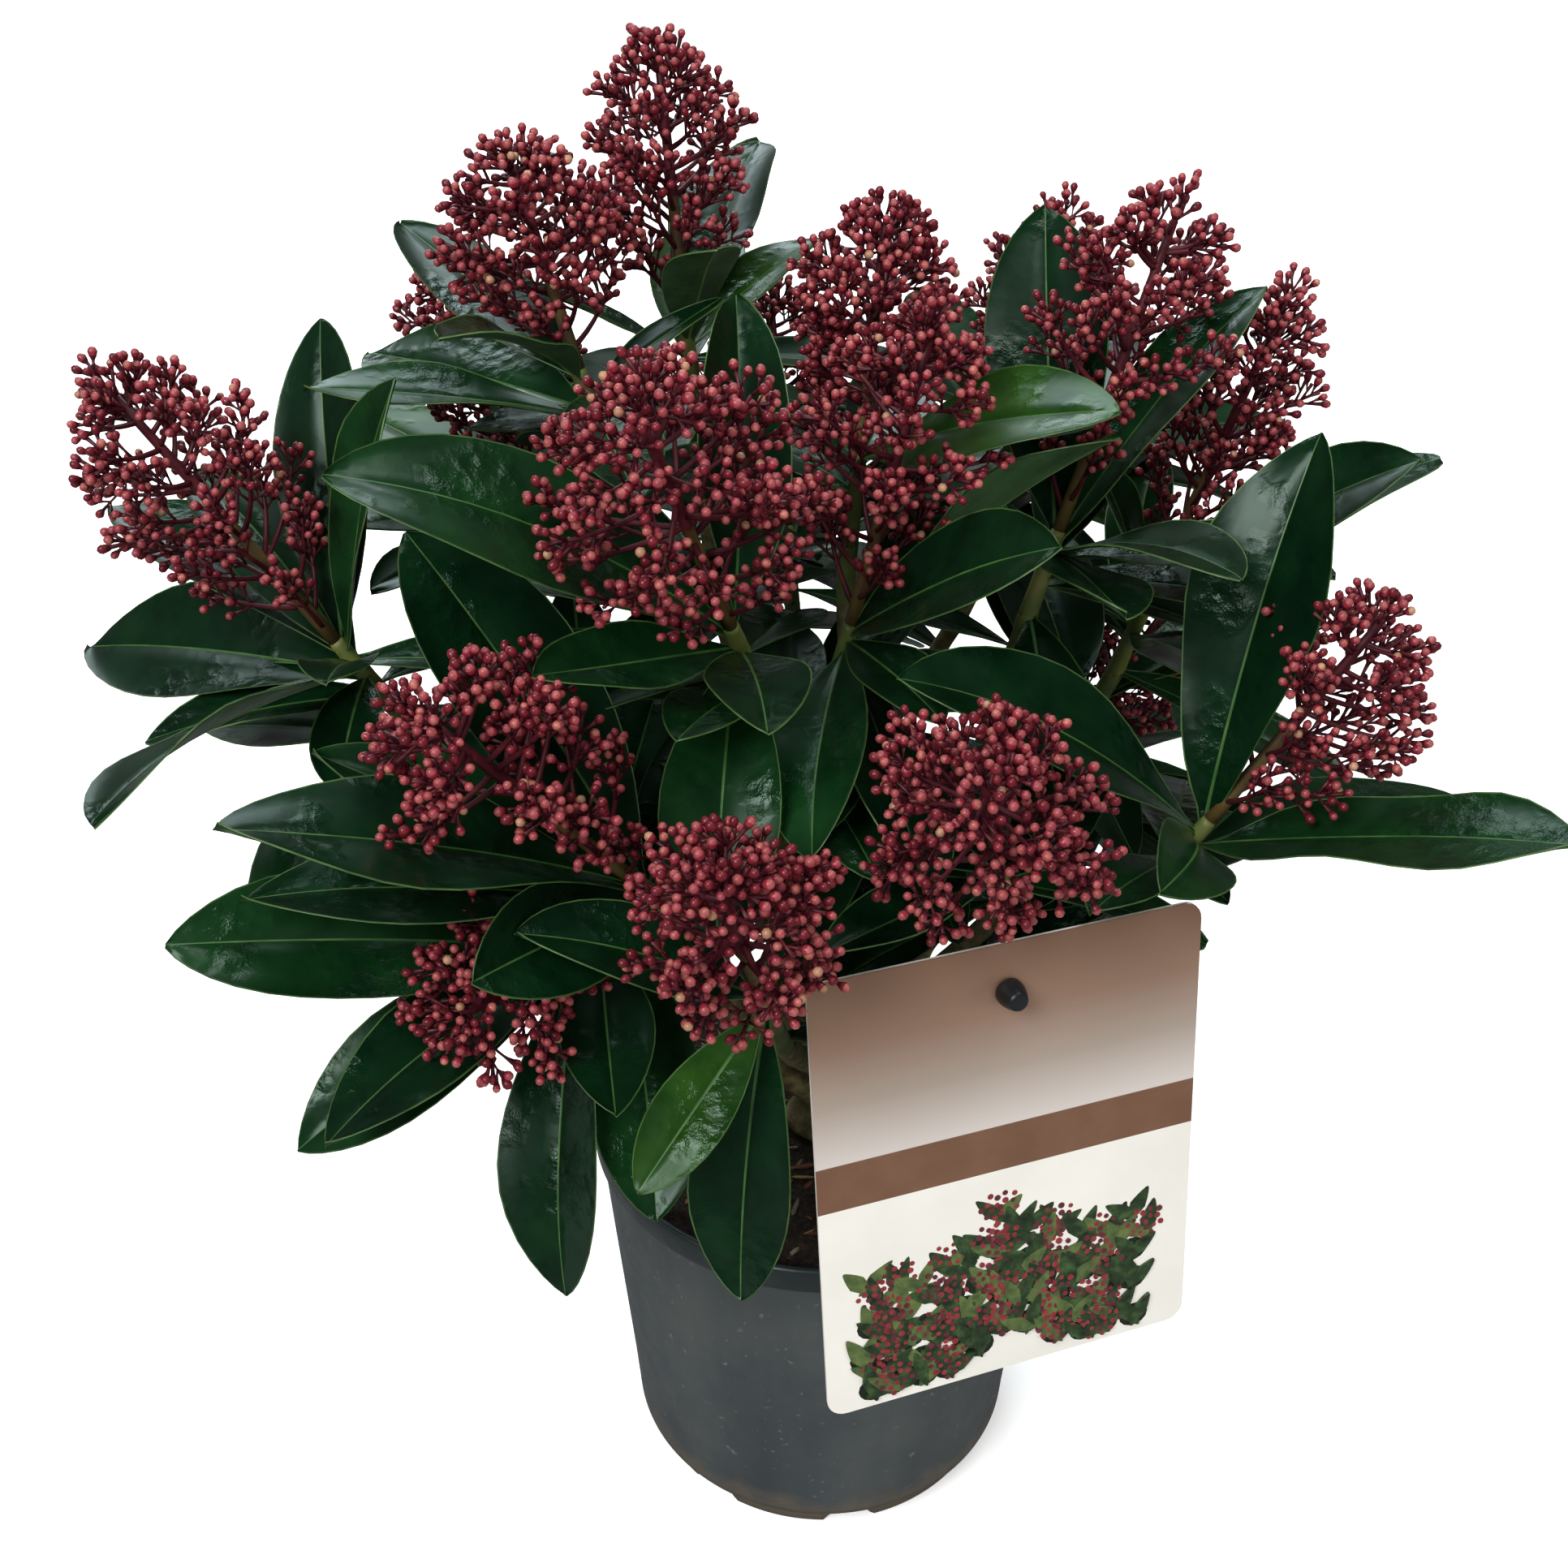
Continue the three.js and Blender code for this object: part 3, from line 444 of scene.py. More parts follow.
def place_leaf(shoot, down, pose, seed, leaves, wood, bough=None):
    """Adds a leaf where it touches nothing, turned a little if need be.

    bough is given for an inner leaf, which may grow from the bough below the stem, keeps inside the box of
    the solids and may lie a little closer to the others.
    """
    heading, pitch, length, roll = pose
    gap = INNER_LEAVES["gap"] if bough else LEAF_GAP
    for turn, lift in NUDGES:
        leaf = Leaf(shoot, down, heading + turn, pitch + lift, length, roll, Dice(seed))
        if bough and down > SHOOT_STEM:
            leaf.move_root(bough.point(1 - (down - SHOOT_STEM) / bough.length))
        if (bough and not in_box(leaf.net)) or leaf_blocked(leaf, leaves, wood, gap):
            continue
        leaf.young = seed % 100 in YOUNG_LEAVES.get(shoot["name"], [])
        leaves.append(leaf)
        return


def grow_spiral(rule, count, shoot, rolls, seed, leaves, wood, bough=None):
    """Leaves down a shoot, each the golden angle round from the last."""
    first = 360 * rolls.roll()
    for k in range(count):
        pose = first + GOLDEN_ANGLE * k, rolls.between(*rule["pitch"]), rolls.between(*rule["length"]), 0
        if not bough or k not in BARE_NODES.get(shoot["name"], []):
            place_leaf(shoot, rule["first"] + rule["step"] * k, pose, seed + k, leaves, wood, bough)


def grow_wood():
    curves, radii, wood = {"trunk": trunk_curve()}, {"trunk": TRUNK_RADII[1:]}, Wood()
    wood.add(curves["trunk"], trunk_radius, "trunk")
    for shoot in SHOOTS:
        name, parent = shoot["name"], shoot["parent"]
        share = BOUGH_SHARE.get(parent, BOUGH_SHARE["bough"])
        thick = share * lerp(*radii[parent], shoot["at"])
        curves[name] = bough_curve(shoot, curves[parent])
        radii[name] = [max(thick, STEM_RADII[0]), STEM_RADII[0]]
        straight = Curve(on_axis(shoot, -SHOOT_STEM), on_axis(shoot, RACHIS_TOP * shoot["head"][2]))
        wood.add(curves[name], taper(radii[name]), name)
        wood.add(straight, taper([STEM_RADII[0], RACHIS_RADII[1]]), name)
    stick = Curve(STICK_FOOT, card_point(0, CARD_HOLE["up"], -STICK_BEHIND))
    wood.add(stick, lambda share: STICK_RADIUS, "stick")
    wood.close()
    return curves, radii, wood


def grow_leaves(wood):
    leaves = []
    for s, shoot in enumerate(SHOOTS):
        for i, pose in enumerate(shoot["leaves"]):
            down = KEY_LEAVES["first"] + KEY_LEAVES["step"] * i
            place_leaf(shoot, down, (*pose, 0)[:4], 100 * s + i, leaves, wood)
    for s, shoot in enumerate(SHOOTS):
        grow_spiral(FILL_LEAVES, shoot["fill"], shoot, Dice(SEEDS["fill"] + s), 100 * s + 50, leaves, wood)
    return leaves


# ---- The growth rule carried on: older, lower leaves that fill the inside of the crown ----

# Down each shoot from its top; the places named in BARE_NODES have lost their leaf.
INNER_LEAVES = {"count": 9, "first": 10, "step": 4.4, "pitch": [24, -38], "length": [62, 96], "gap": 1.3}
BOX_MARGIN = 1.5
BARE_NODES = {"far_right": [6], "high_right": [3, 5], "far_left": [5], "front_left": [6]}
# Large leaves grown before the inner ones: how far down the stem, heading, pitch, length and roll.
LATE_LEAVES = {"front_left": [[5.4, 151, 52, 118, -15]]}


def in_box(points):
    """True where the points keep inside the box of the solids."""
    return bool(((points > BOX_LOW + BOX_MARGIN) & (points < BOX_HIGH - BOX_MARGIN)).all())


def grow_inner(curves, leaves, wood):
    """More leaves down each leafy stem and the bough below it, where they touch nothing."""
    for s, shoot in enumerate(SHOOTS):
        for down, *pose in LATE_LEAVES.get(shoot["name"], []):
            place_leaf(shoot, down, pose, SEEDS["late"], leaves, wood, curves[shoot["name"]])
    for s, shoot in enumerate(SHOOTS):
        rolls, curve = Dice(SEEDS["inner"] + s), curves[shoot["name"]]
        grow_spiral(INNER_LEAVES, INNER_LEAVES["count"], shoot, rolls, 100 * s + 70, leaves, wood, curve)


# ---- The growth rule: flower heads, carried on to single buds ----

BUD_LENGTH = 3.5
BUD_RADIUS = 1.34
BUD_SPACING = 3.05
BUD_VARIES = [0.88, 1.12]
BUD_STALK = {"lean": [0.75, 1.2], "reach": [2.6, 3.9]}
SIDE_NODES = [0.56, 0.74, 0.89, 1.0]
BRANCHES = {
    "side": {"count": 2, "spread": [44, 62], "reach": [4.8, 8.8]},
    "end": {"count": 3, "spread": [28, 46], "reach": [3.8, 6.4]},
}
THREE_BUDS = 0.8
SPRAY_SAG = 0.12
SPRAY_POINTS = 7
SPRAY_CLEAR = 1.2
STALK_RADII = {"bud": [0.34, 0.36, 0.66], "branch": [0.5, 0.42, 0.66], "spray": [0.95, 0.52]}
RACHIS_END = 0.88
RACHIS_POINTS = 9
FINE_PER_WIDTH = 0.34
FINE_SPAN = [0.05, 0.84]
ASCENT = {"branch": 0.4, "bud": 0.35}


def head_profile(t):
    """How wide the head is at a share t of its flowering length, as a share of its full width."""
    return math.sin(math.pi * (HEAD_BELL["start"] + HEAD_BELL["span"] * t)) ** HEAD_BELL["power"]


def head_sprays(shoot, seed, count, span):
    """The sprays of one head: each leaves the rachis at its first point and ends at its second."""
    rolls = Dice(seed)
    axis = direction(*shoot["head"][:2])
    heading, pitch, length, width = shoot["head"]
    sideways, upright = direction(heading + 90, 0), direction(heading, pitch + 90)
    sprays = []
    for i in range(count):
        t = i / (count - 1)
        out = around(sideways, upright, math.radians(GOLDEN_ANGLE * i + SPRAY_TURN * rolls.roll()))
        share = SPRAY_REACH["least"] + SPRAY_REACH["more"] * rolls.roll()
        reach = (0.5 * width - SPRAY_REACH["inset"]) * head_profile(t) * share
        start = on_axis(shoot, length * lerp(*span, t))
        sprays.append((start, start + reach * out + length * lerp(*SPRAY_RISE, t) * axis))
    return sprays


def clear_of(points, radius, owner, leaves, wood):
    """For each point, True where a ball of that radius keeps off leaves, other shoots' wood, card and pot."""
    free = ~in_pot(points, radius)
    for leaf in leaves:
        over = leaf.over(points, radius, BLADE_FROM["spray"])
        free &= ~(np.abs(over) < radius + 0.6)
    others = wood.owners != owner
    away = np.linalg.norm(points[:, None] - wood.points[others][None], axis=2)
    free &= (away > wood.radii[others] + radius).all(axis=1)
    free &= ~(np.abs(over_card(points, radius)) < radius + 1)
    return free


class Head:
    """One flower head: stalks as (points, radii, tone) and buds as (base, direction, size, tone)."""

    def __init__(self):
        self.stalks, self.buds = [], []


def cyme_branches(path, axis, rolls):
    """A spray's curve and its short rising branches: each one's node, direction, reach and number of buds."""
    along = unit(path[-1] - path[0])
    side, other = square_to(along)
    curve = Curve(*path)
    turn = 2 * math.pi * rolls.roll()
    branches = []
    for share in SIDE_NODES:
        kind = BRANCHES["end" if share == 1.0 else "side"]
        for k in range(kind["count"]):
            angle = turn + 2 * math.pi * k / kind["count"] + 0.5 * (rolls.roll() - 0.5)
            spread = math.radians(rolls.between(*kind["spread"]))
            aim = unit(around(along, around(side, other, angle), spread) + ASCENT["branch"] * axis)
            reach = rolls.between(*kind["reach"])
            branches.append((curve.point(share), aim, reach, 3 if rolls.roll() < THREE_BUDS else 2))
        turn += math.pi / 2 + 0.4 * (rolls.roll() - 0.5)
    return curve, branches


def branch_buds(node, aim, reach, count, axis, rolls):
    """One bud at a branch's tip and the rest on short stalks beside it: where each stalk starts and ends."""
    fork = node + 0.5 * reach * aim
    ends = [(fork, aim, node + reach * aim)]
    side, other = square_to(aim)
    turn = 2 * math.pi * rolls.roll()
    for k in range(count - 1):
        out = around(side, other, turn + math.pi * k + 0.6 * (rolls.roll() - 0.5))
        lean = unit(aim + rolls.between(*BUD_STALK["lean"]) * out + ASCENT["bud"] * axis)
        ends.append((fork, lean, fork + rolls.between(*BUD_STALK["reach"]) * lean))
    return ends


class Taken:
    """The places that buds already hold."""

    def __init__(self):
        self.points, self.count = np.zeros((20000, 3)), 0

    def holds(self, point):
        return bool((np.linalg.norm(self.points[: self.count] - point, axis=1) < BUD_SPACING).any())

    def add(self, point):
        self.points[self.count] = point
        self.count += 1


def grow_spray(head, start, end, shoot, rolls, leaves, wood, taken):
    """One spray: a curved stalk with short branches, each kept with the buds that touch nothing."""
    aim = unit(end - start)
    axis = direction(*shoot["head"][:2])
    belly = lerp(start, end, 0.5) - SPRAY_SAG * np.linalg.norm(end - start) * unit(axis - 0.6 * aim)
    curve, branches = cyme_branches([start, belly, end], axis, rolls)
    path = curve.point(np.linspace(0, 1, SPRAY_POINTS))
    if not clear_of(path[1:], SPRAY_CLEAR, shoot["name"], leaves, wood).all():
        return
    options = [branch_buds(*branch, axis, rolls) for branch in branches]
    centres = vector([base + 0.5 * BUD_LENGTH * lean for ends in options for _, lean, base in ends])
    free = iter(zip(centres, clear_of(centres, BUD_RADIUS, shoot["name"], leaves, wood)))
    kept = 0
    for (node, out, reach, _), ends in zip(branches, options):
        mine = 0
        for k, (fork, lean, base) in enumerate(ends):
            centre, is_free = next(free)
            size, tone = rolls.between(*BUD_VARIES), rolls.roll()
            if not is_free or taken.holds(centre) or not in_box(centre):
                continue
            taken.add(centre)
            head.buds.append((base, lean, size, tone))
            if k:
                twig = [fork, lerp(fork, base, 0.6), base + 0.3 * lean]
                head.stalks.append((twig, STALK_RADII["bud"], "stalk"))
            mine += 1
        if mine:
            line = [node, node + 0.5 * reach * out, node + (reach + 0.3) * out]
            head.stalks.append((line, STALK_RADII["branch"], "stalk"))
            kept += 1
    if kept:
        head.stalks.append((list(path), list(np.linspace(*STALK_RADII["spray"], SPRAY_POINTS)), "stalk"))


def grow_head(shoot, seed, leaves, wood, taken):
    """A head's rachis, sprays and buds."""
    rolls = Dice(seed + 40)
    length = shoot["head"][2]
    head = Head()
    crown = (on_axis(shoot, CROWN_FROM * length), on_axis(shoot, length - SWELL_END * CLUSTER_RADIUS))
    sprays = [crown, *head_sprays(shoot, seed, SPRAYS, SPRAY_SPAN)]
    sprays += head_sprays(shoot, seed + 500, round(FINE_PER_WIDTH * shoot["head"][3]), FINE_SPAN)
    middle = on_axis(shoot, 0.6 * length)
    near = [leaf for leaf in leaves if np.linalg.norm(leaf.middle - middle) < 1.2 * length + 30]
    for start, end in sprays:
        grow_spray(head, start, end, shoot, rolls, near, wood, taken)
    top = on_axis(shoot, RACHIS_END * length)
    rachis = [lerp(on_axis(shoot, GAP), top, k / (RACHIS_POINTS - 1)) for k in range(RACHIS_POINTS)]
    head.stalks.append((rachis, list(np.linspace(*RACHIS_RADII, RACHIS_POINTS)), "rachis"))
    return head


# ---- Mesh building ----


def new_object(name, data):
    thing = bpy.data.objects.new(name, data)
    bpy.context.scene.collection.objects.link(thing)
    return thing


class Builder:
    """Collects points and faces of several tones, in millimetres, and makes one joined piece of them."""

    def __init__(self):
        self.points, self.faces, self.tones, self.count = [], [], [], 0

    def add(self, points, faces, tones):
        """tones is one tone for all these faces, or one for each."""
        points = np.asarray(points, float).reshape(-1, 3)
        self.points.append(np.clip(points, BOX_LOW, BOX_HIGH))
        self.faces.extend(tuple(int(i) + self.count for i in face) for face in faces)
        self.tones.extend([tones] * len(faces) if isinstance(tones, str) else tones)
        self.count += len(points)

    def piece(self, name, slot, smooth=True):
        mesh = bpy.data.meshes.new(name)
        mesh.from_pydata((np.concatenate(self.points) * MM).tolist(), [], self.faces)
        names = sorted(set(self.tones))
        for tone in names:
            mesh.materials.append(MATERIALS[tone])
        place = {tone: i for i, tone in enumerate(names)}
        mesh.polygons.foreach_set("material_index", [place[tone] for tone in self.tones])
        mesh.polygons.foreach_set("use_smooth", [smooth] * len(self.faces))
        mesh.update()
        piece = new_object(name, mesh)
        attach(piece, "root")
        return piece


def grid_faces(rows, columns, closed=False):
    """Quads of a grid of points, row by row; closed joins the last column to the first."""
    faces = []
    for i in range(rows - 1):
        for k in range(columns if closed else columns - 1):
            m = (k + 1) % columns
            faces.append((i * columns + k, i * columns + m, (i + 1) * columns + m, (i + 1) * columns + k))
    return faces


def carried_frames(centres):
    """At each centre, two vectors square to the line, carried along it without twist."""
    centres = np.asarray(centres, float)
    tangents = np.gradient(centres, axis=0)
    tangents /= np.linalg.norm(tangents, axis=1)[:, None]
    side = square_to(tangents[0])[0]
    frames = []
    for tangent in tangents:
        side = unit(side - tangent * (side @ tangent))
        frames.append((side, np.cross(tangent, side)))
    return frames


def add_tube(builder, centres, radii, sides, tones, relief=None):
    """A closed tube: tones is one tone or one for each stretch; relief(ring, angle) adds to the radius."""
    rows, points = len(centres), []
    for i, (side, other) in enumerate(carried_frames(centres)):
        for angle in circle(sides):
            radius = radii[i] + (relief(i, angle) if relief else 0)
            points.append(centres[i] + radius * around(side, other, angle))
    faces = grid_faces(rows, sides, closed=True)
    if not isinstance(tones, str):
        tones = [tones[i // sides] for i in range(len(faces))] + [tones[0], tones[-1]]
    faces.append(tuple(reversed(range(sides))))
    faces.append(tuple(range((rows - 1) * sides, rows * sides)))
    builder.add(points, faces, tones)


# ---- Leaves ----

LEAF_ROWS = [0, 0.05, 0.1, 0.16, 0.23, 0.31, 0.39, 0.47, 0.55, 0.63, 0.71, 0.78, 0.85, 0.905, 0.95, 0.98, 1]
MARGIN_WIDTH = 0.34
RIB_HALF = 0.5
LEAF_SKIN = 0.55
PETIOLE_HALF = 1.3
LEAF_WAVES = {"count": [1.1, 1.9], "height": [0.006, 0.02], "hook": [-0.01, 0.035], "bend": [-0.02, 0.02]}
HOOK_FROM = 0.6
RIB_GROOVE = 0.25
RIM_ROLL = 0.12
MID_GREEN = 0.45


def leaf_grid(leaf, rolls):
    """The blade's top net: its rim, quarter lines and midrib, arched, folded and a little wavy."""
    phase = 2 * math.pi * rolls.roll()
    waves = rolls.between(*LEAF_WAVES["count"])
    wave, hook, bend = [leaf.length * rolls.between(*LEAF_WAVES[kind]) for kind in ("height", "hook", "bend")]
    top = []
    for t in LEAF_ROWS:
        half = max(float(leaf.half(min(t, 0.999))), PETIOLE_HALF * (1 - t) ** 2, 0.12)
        rib = min(RIB_HALF * (1.15 - 0.8 * t), 0.3 * half)
        rim = max(half - MARGIN_WIDTH, 0.8 * half)
        right = [rib, 0.3 * half, 0.64 * half, rim, half]
        ys = [-y for y in reversed(right)] + [0] + right
        for y in ys:
            share = abs(y) / half
            lift = leaf.height(t, y) - leaf.fold * 0.35 * half * share * (1 - share)
            side = 1 if y > 0 else -1
            lift += wave * share**2 * math.sin(2 * math.pi * waves * t + phase + side)
            lift -= hook * max(0, t - HOOK_FROM) ** 2 / (1 - HOOK_FROM) ** 2
            lift -= RIB_GROOVE if y == 0 and 0.06 < t < 0.95 else 0
            lift += RIM_ROLL if abs(y) == half else 0
            top.append(leaf.place(t * leaf.length, y + bend * t * (1 - t) * 4, lift))
    return np.array(top), len(ys)


def add_leaf(builder, leaf, rolls):
    """A thin closed blade: upper face in the leaf's own green with pale rib and margin, dull underside."""
    top, columns = leaf_grid(leaf, rolls)
    rows, strips = len(LEAF_ROWS), columns - 1
    green = "leaf_mid" if rolls.roll() < MID_GREEN else "leaf_deep"
    if leaf.young:
        green = "leaf_fresh"
    strip = ["leaf_edge", green, green, green, "leaf_rib", "leaf_rib", green, green, green, "leaf_edge"]
    low = top - LEAF_SKIN * leaf.normal
    upper = [tuple(reversed(face)) for face in grid_faces(rows, columns)]
    lower = [tuple(i + len(top) for i in reversed(face)) for face in upper]
    rim = [i * columns for i in range(rows)] + [(rows - 1) * columns + k for k in range(1, columns)]
    rim += [i * columns + strips for i in range(rows - 2, -1, -1)] + list(range(columns - 2, 0, -1))
    edge = [(a, b, b + len(top), a + len(top)) for a, b in zip(rim, rim[1:] + rim[:1])]
    tones = [strip[i % strips] for i in range(len(upper))]
    tones += ["leaf_rib_under" if 4 <= i % strips <= 5 else "leaf_under" for i in range(len(lower))]
    builder.add(np.concatenate([top, low]), upper + lower + edge, tones + ["leaf_edge"] * len(edge))


# ---- Buds and stalks ----

BUD_SIDES = 7
BUD_PROFILE = [(0, 0.36), (0.3, 0.78), (0.62, 1.0), (0.88, 0.66)]
BUD_TONES = {"dark": 0.45, "tip": 0.3, "cream": 0.975}


def add_bud(builder, base, aim, size, tone):
    """An ovoid bud on a point, dark at the foot and paler at the tip."""
    side, other = square_to(aim)
    length, radius = BUD_LENGTH * size, BUD_RADIUS * size
    points = []
    for share, wide in BUD_PROFILE:
        centre = base + share * length * aim
        points += [centre + wide * radius * around(side, other, angle) for angle in circle(BUD_SIDES)]
    points.append(base + length * aim)
    body = "bud_dark" if tone < BUD_TONES["dark"] else "bud_red"
    tip = "bud_cream" if tone > BUD_TONES["cream"] else "bud_tip" if tone > BUD_TONES["tip"] else body
    faces = grid_faces(len(BUD_PROFILE), BUD_SIDES, closed=True)
    tones = ["bud_foot"] * BUD_SIDES + [body] * (len(faces) - 2 * BUD_SIDES) + [tip] * (2 * BUD_SIDES)
    last = len(points) - 1 - BUD_SIDES
    faces += [(last + k, last + (k + 1) % BUD_SIDES, len(points) - 1) for k in range(BUD_SIDES)]
    faces.append(tuple(reversed(range(BUD_SIDES))))
    builder.add(points, faces, tones + ["bud_foot"])


# ---- Materials ----


def add_node(tree, kind, inputs=None, **settings):
    """Adds a shader node and gives its outputs; an input is a value, a hex colour or another's output."""
    node = tree.nodes.new("ShaderNode" + kind)
    for name, value in settings.items():
        setattr(node, name, value)
    for socket, value in (inputs or {}).items():
        if isinstance(value, bpy.types.NodeSocket):
            tree.links.new(value, node.inputs[socket])
        else:
            node.inputs[socket].default_value = rgba(value) if isinstance(value, str) else value
    return node.outputs


class Nodes:
    """Short names for the nodes of one material."""

    def __init__(self, name):
        self.material = bpy.data.materials.new(name)
        self.material.use_nodes = True
        self.tree = self.material.node_tree
        self.shader = self.tree.nodes["Principled BSDF"]
        self.place = self.add("TexCoord")["Object"]

    def add(self, kind, inputs=None, **settings):
        return add_node(self.tree, kind, inputs, **settings)

    def feed(self, socket, source):
        self.tree.links.new(source, self.shader.inputs[socket])

    def set(self, **values):
        for name, value in values.items():
            self.shader.inputs[name.replace("_", " ")].default_value = value

    def height(self):
        return self.add("SeparateXYZ", {0: self.place})["Z"]

    def noise(self, scale, detail=3, rough=0.55, place=None):
        inputs = {"Vector": place or self.place, "Scale": scale, "Detail": detail, "Roughness": rough}
        return self.add("TexNoise", inputs)["Fac"]

    def ramp(self, value, stops):
        """A colour ramp through (place, colour) stops."""
        node = self.tree.nodes.new("ShaderNodeValToRGB")
        while len(node.color_ramp.elements) < len(stops):
            node.color_ramp.elements.new(0.5)
        for element, (place, colour) in zip(node.color_ramp.elements, stops):
            element.position = place
            element.color = rgba(colour)
        self.tree.links.new(value, node.inputs["Fac"])
        return node.outputs["Color"]

    def span(self, value, low, high, start=0.3, end=0.7):
        """value spread from start..end to low..high."""
        inputs = {"Value": value, "From Min": start, "From Max": end, "To Min": low, "To Max": high}
        return self.add("MapRange", inputs)["Result"]

    def times(self, first, second):
        return self.add("Math", {0: first, 1: second}, operation="MULTIPLY")[0]

    def mix(self, share, first, second):
        return self.add("Mix", {0: share, 6: first, 7: second}, data_type="RGBA")[2]

    def bump(self, value, strength, distance):
        inputs = {"Height": value, "Strength": strength, "Distance": distance}
        self.feed("Normal", self.add("Bump", inputs)["Normal"])


def rgba(colour):
    """A linear colour from a hex one."""
    parts = [int(colour[i : i + 2], 16) / 255 for i in (1, 3, 5)]
    return [part / 12.92 if part < 0.04045 else ((part + 0.055) / 1.055) ** 2.4 for part in parts] + [1]


def speckled(name, stops, scale, rough, bump=0, bump_scale=None, specular=0.5):
    """A material whose colour wanders along a ramp, with a fine bump."""
    nodes = Nodes(name)
    nodes.feed("Base Color", nodes.ramp(nodes.noise(scale), stops))
    nodes.feed("Roughness", nodes.span(nodes.noise(scale * 1.7), rough - 0.06, rough + 0.08))
    nodes.set(Specular_IOR_Level=specular)
    if bump:
        nodes.bump(nodes.noise(bump_scale or 4 * scale), 0.6, bump)
    return nodes.material


def leaf_green(name, dark, light):
    """Waxy leaf skin: its green wanders a little, and damp patches shine and pucker more than the rest."""
    nodes = Nodes(name)
    nodes.feed("Base Color", nodes.ramp(nodes.noise(55), [(0.34, dark), (0.66, light)]))
    wet = nodes.span(nodes.noise(32, 3), 0.06, 1, 0.5, 0.64)
    nodes.feed("Roughness", nodes.span(wet, 0.31, 0.14, 0, 1))
    nodes.set(Specular_IOR_Level=0.3, Specular_Tint=(0.78, 1, 0.88, 1))
    cells = nodes.add("TexVoronoi", {"Vector": nodes.place, "Scale": 210})["Distance"]
    nodes.bump(nodes.times(nodes.times(cells, nodes.noise(300, 4, 0.64)), wet), 0.6, 0.0022)
    return nodes.material


def bark_skin():
    """Dull brown-green bark with paler lichen patches."""
    nodes = Nodes("bark")
    coat = nodes.ramp(nodes.noise(170, 5, 0.62), [(0.3, "#3f3722"), (0.5, "#6b6240"), (0.68, "#8b8258")])
    lichen = nodes.span(nodes.noise(60, 4), 0, 0.55, 0.52, 0.66)
    nodes.feed("Base Color", nodes.mix(lichen, coat, "#7c7a5e"))
    nodes.set(Roughness=0.82)
    nodes.bump(nodes.noise(900, 5, 0.6), 0.7, 0.0006)
    return nodes.material


def pot_plastic():
    """Blow-moulded grey plastic: faint upright mottling, pale specks, and splashed mud low down."""
    nodes = Nodes("pot_plastic")
    upright = nodes.add("Mapping", {"Vector": nodes.place, "Scale": [1, 1, 0.35]})["Vector"]
    greys = [(0.3, "#3b4144"), (0.55, "#454c4e"), (0.75, "#505453")]
    coat = nodes.ramp(nodes.noise(26, 4, 0.6, upright), greys)
    coat = nodes.mix(nodes.span(nodes.noise(17, 4, 0.6), 0, 0.32, 0.5, 0.7), coat, "#5f605a")
    coat = nodes.mix(nodes.span(nodes.noise(260, 2, 0.7), 0, 0.7, 0.66, 0.73), coat, "#727876")
    ragged = {0: nodes.noise(70, 4, 0.65), 1: -0.03, 2: nodes.height()}
    mud = nodes.span(nodes.add("Math", ragged, operation="MULTIPLY_ADD")[0], 0.95, 0, -0.009, 0.008)
    nodes.feed("Base Color", nodes.mix(mud, coat, "#6a5e4e"))
    nodes.feed("Roughness", nodes.span(nodes.noise(90), 0.38, 0.52))
    nodes.bump(nodes.noise(260, 3), 0.25, 0.0004)
    return nodes.material


def soil_crumb():
    """Dark crumbs with paler fibres among them."""
    nodes = Nodes("soil_crumb")
    crumbs = nodes.noise(520, 6, 0.7)
    stops = [(0.3, "#120d09"), (0.5, "#2a1f16"), (0.63, "#46331f"), (0.74, "#6d5334")]
    nodes.feed("Base Color", nodes.ramp(crumbs, stops))
    nodes.set(Roughness=0.95)
    nodes.bump(crumbs, 1.0, 0.0022)
    return nodes.material


def card_blend():
    """The card's upper field: taupe that fades to pale towards the band."""
    nodes = Nodes("card_upper")
    fade = nodes.span(nodes.height(), 0, 1, 0.246, 0.305)
    stops = [(0.0, "#d3cac3"), (0.3, "#aa9b8f"), (0.62, "#927562"), (1.0, "#7b5c48")]
    nodes.feed("Base Color", nodes.ramp(fade, stops))
    nodes.set(Roughness=0.32)
    return nodes.material


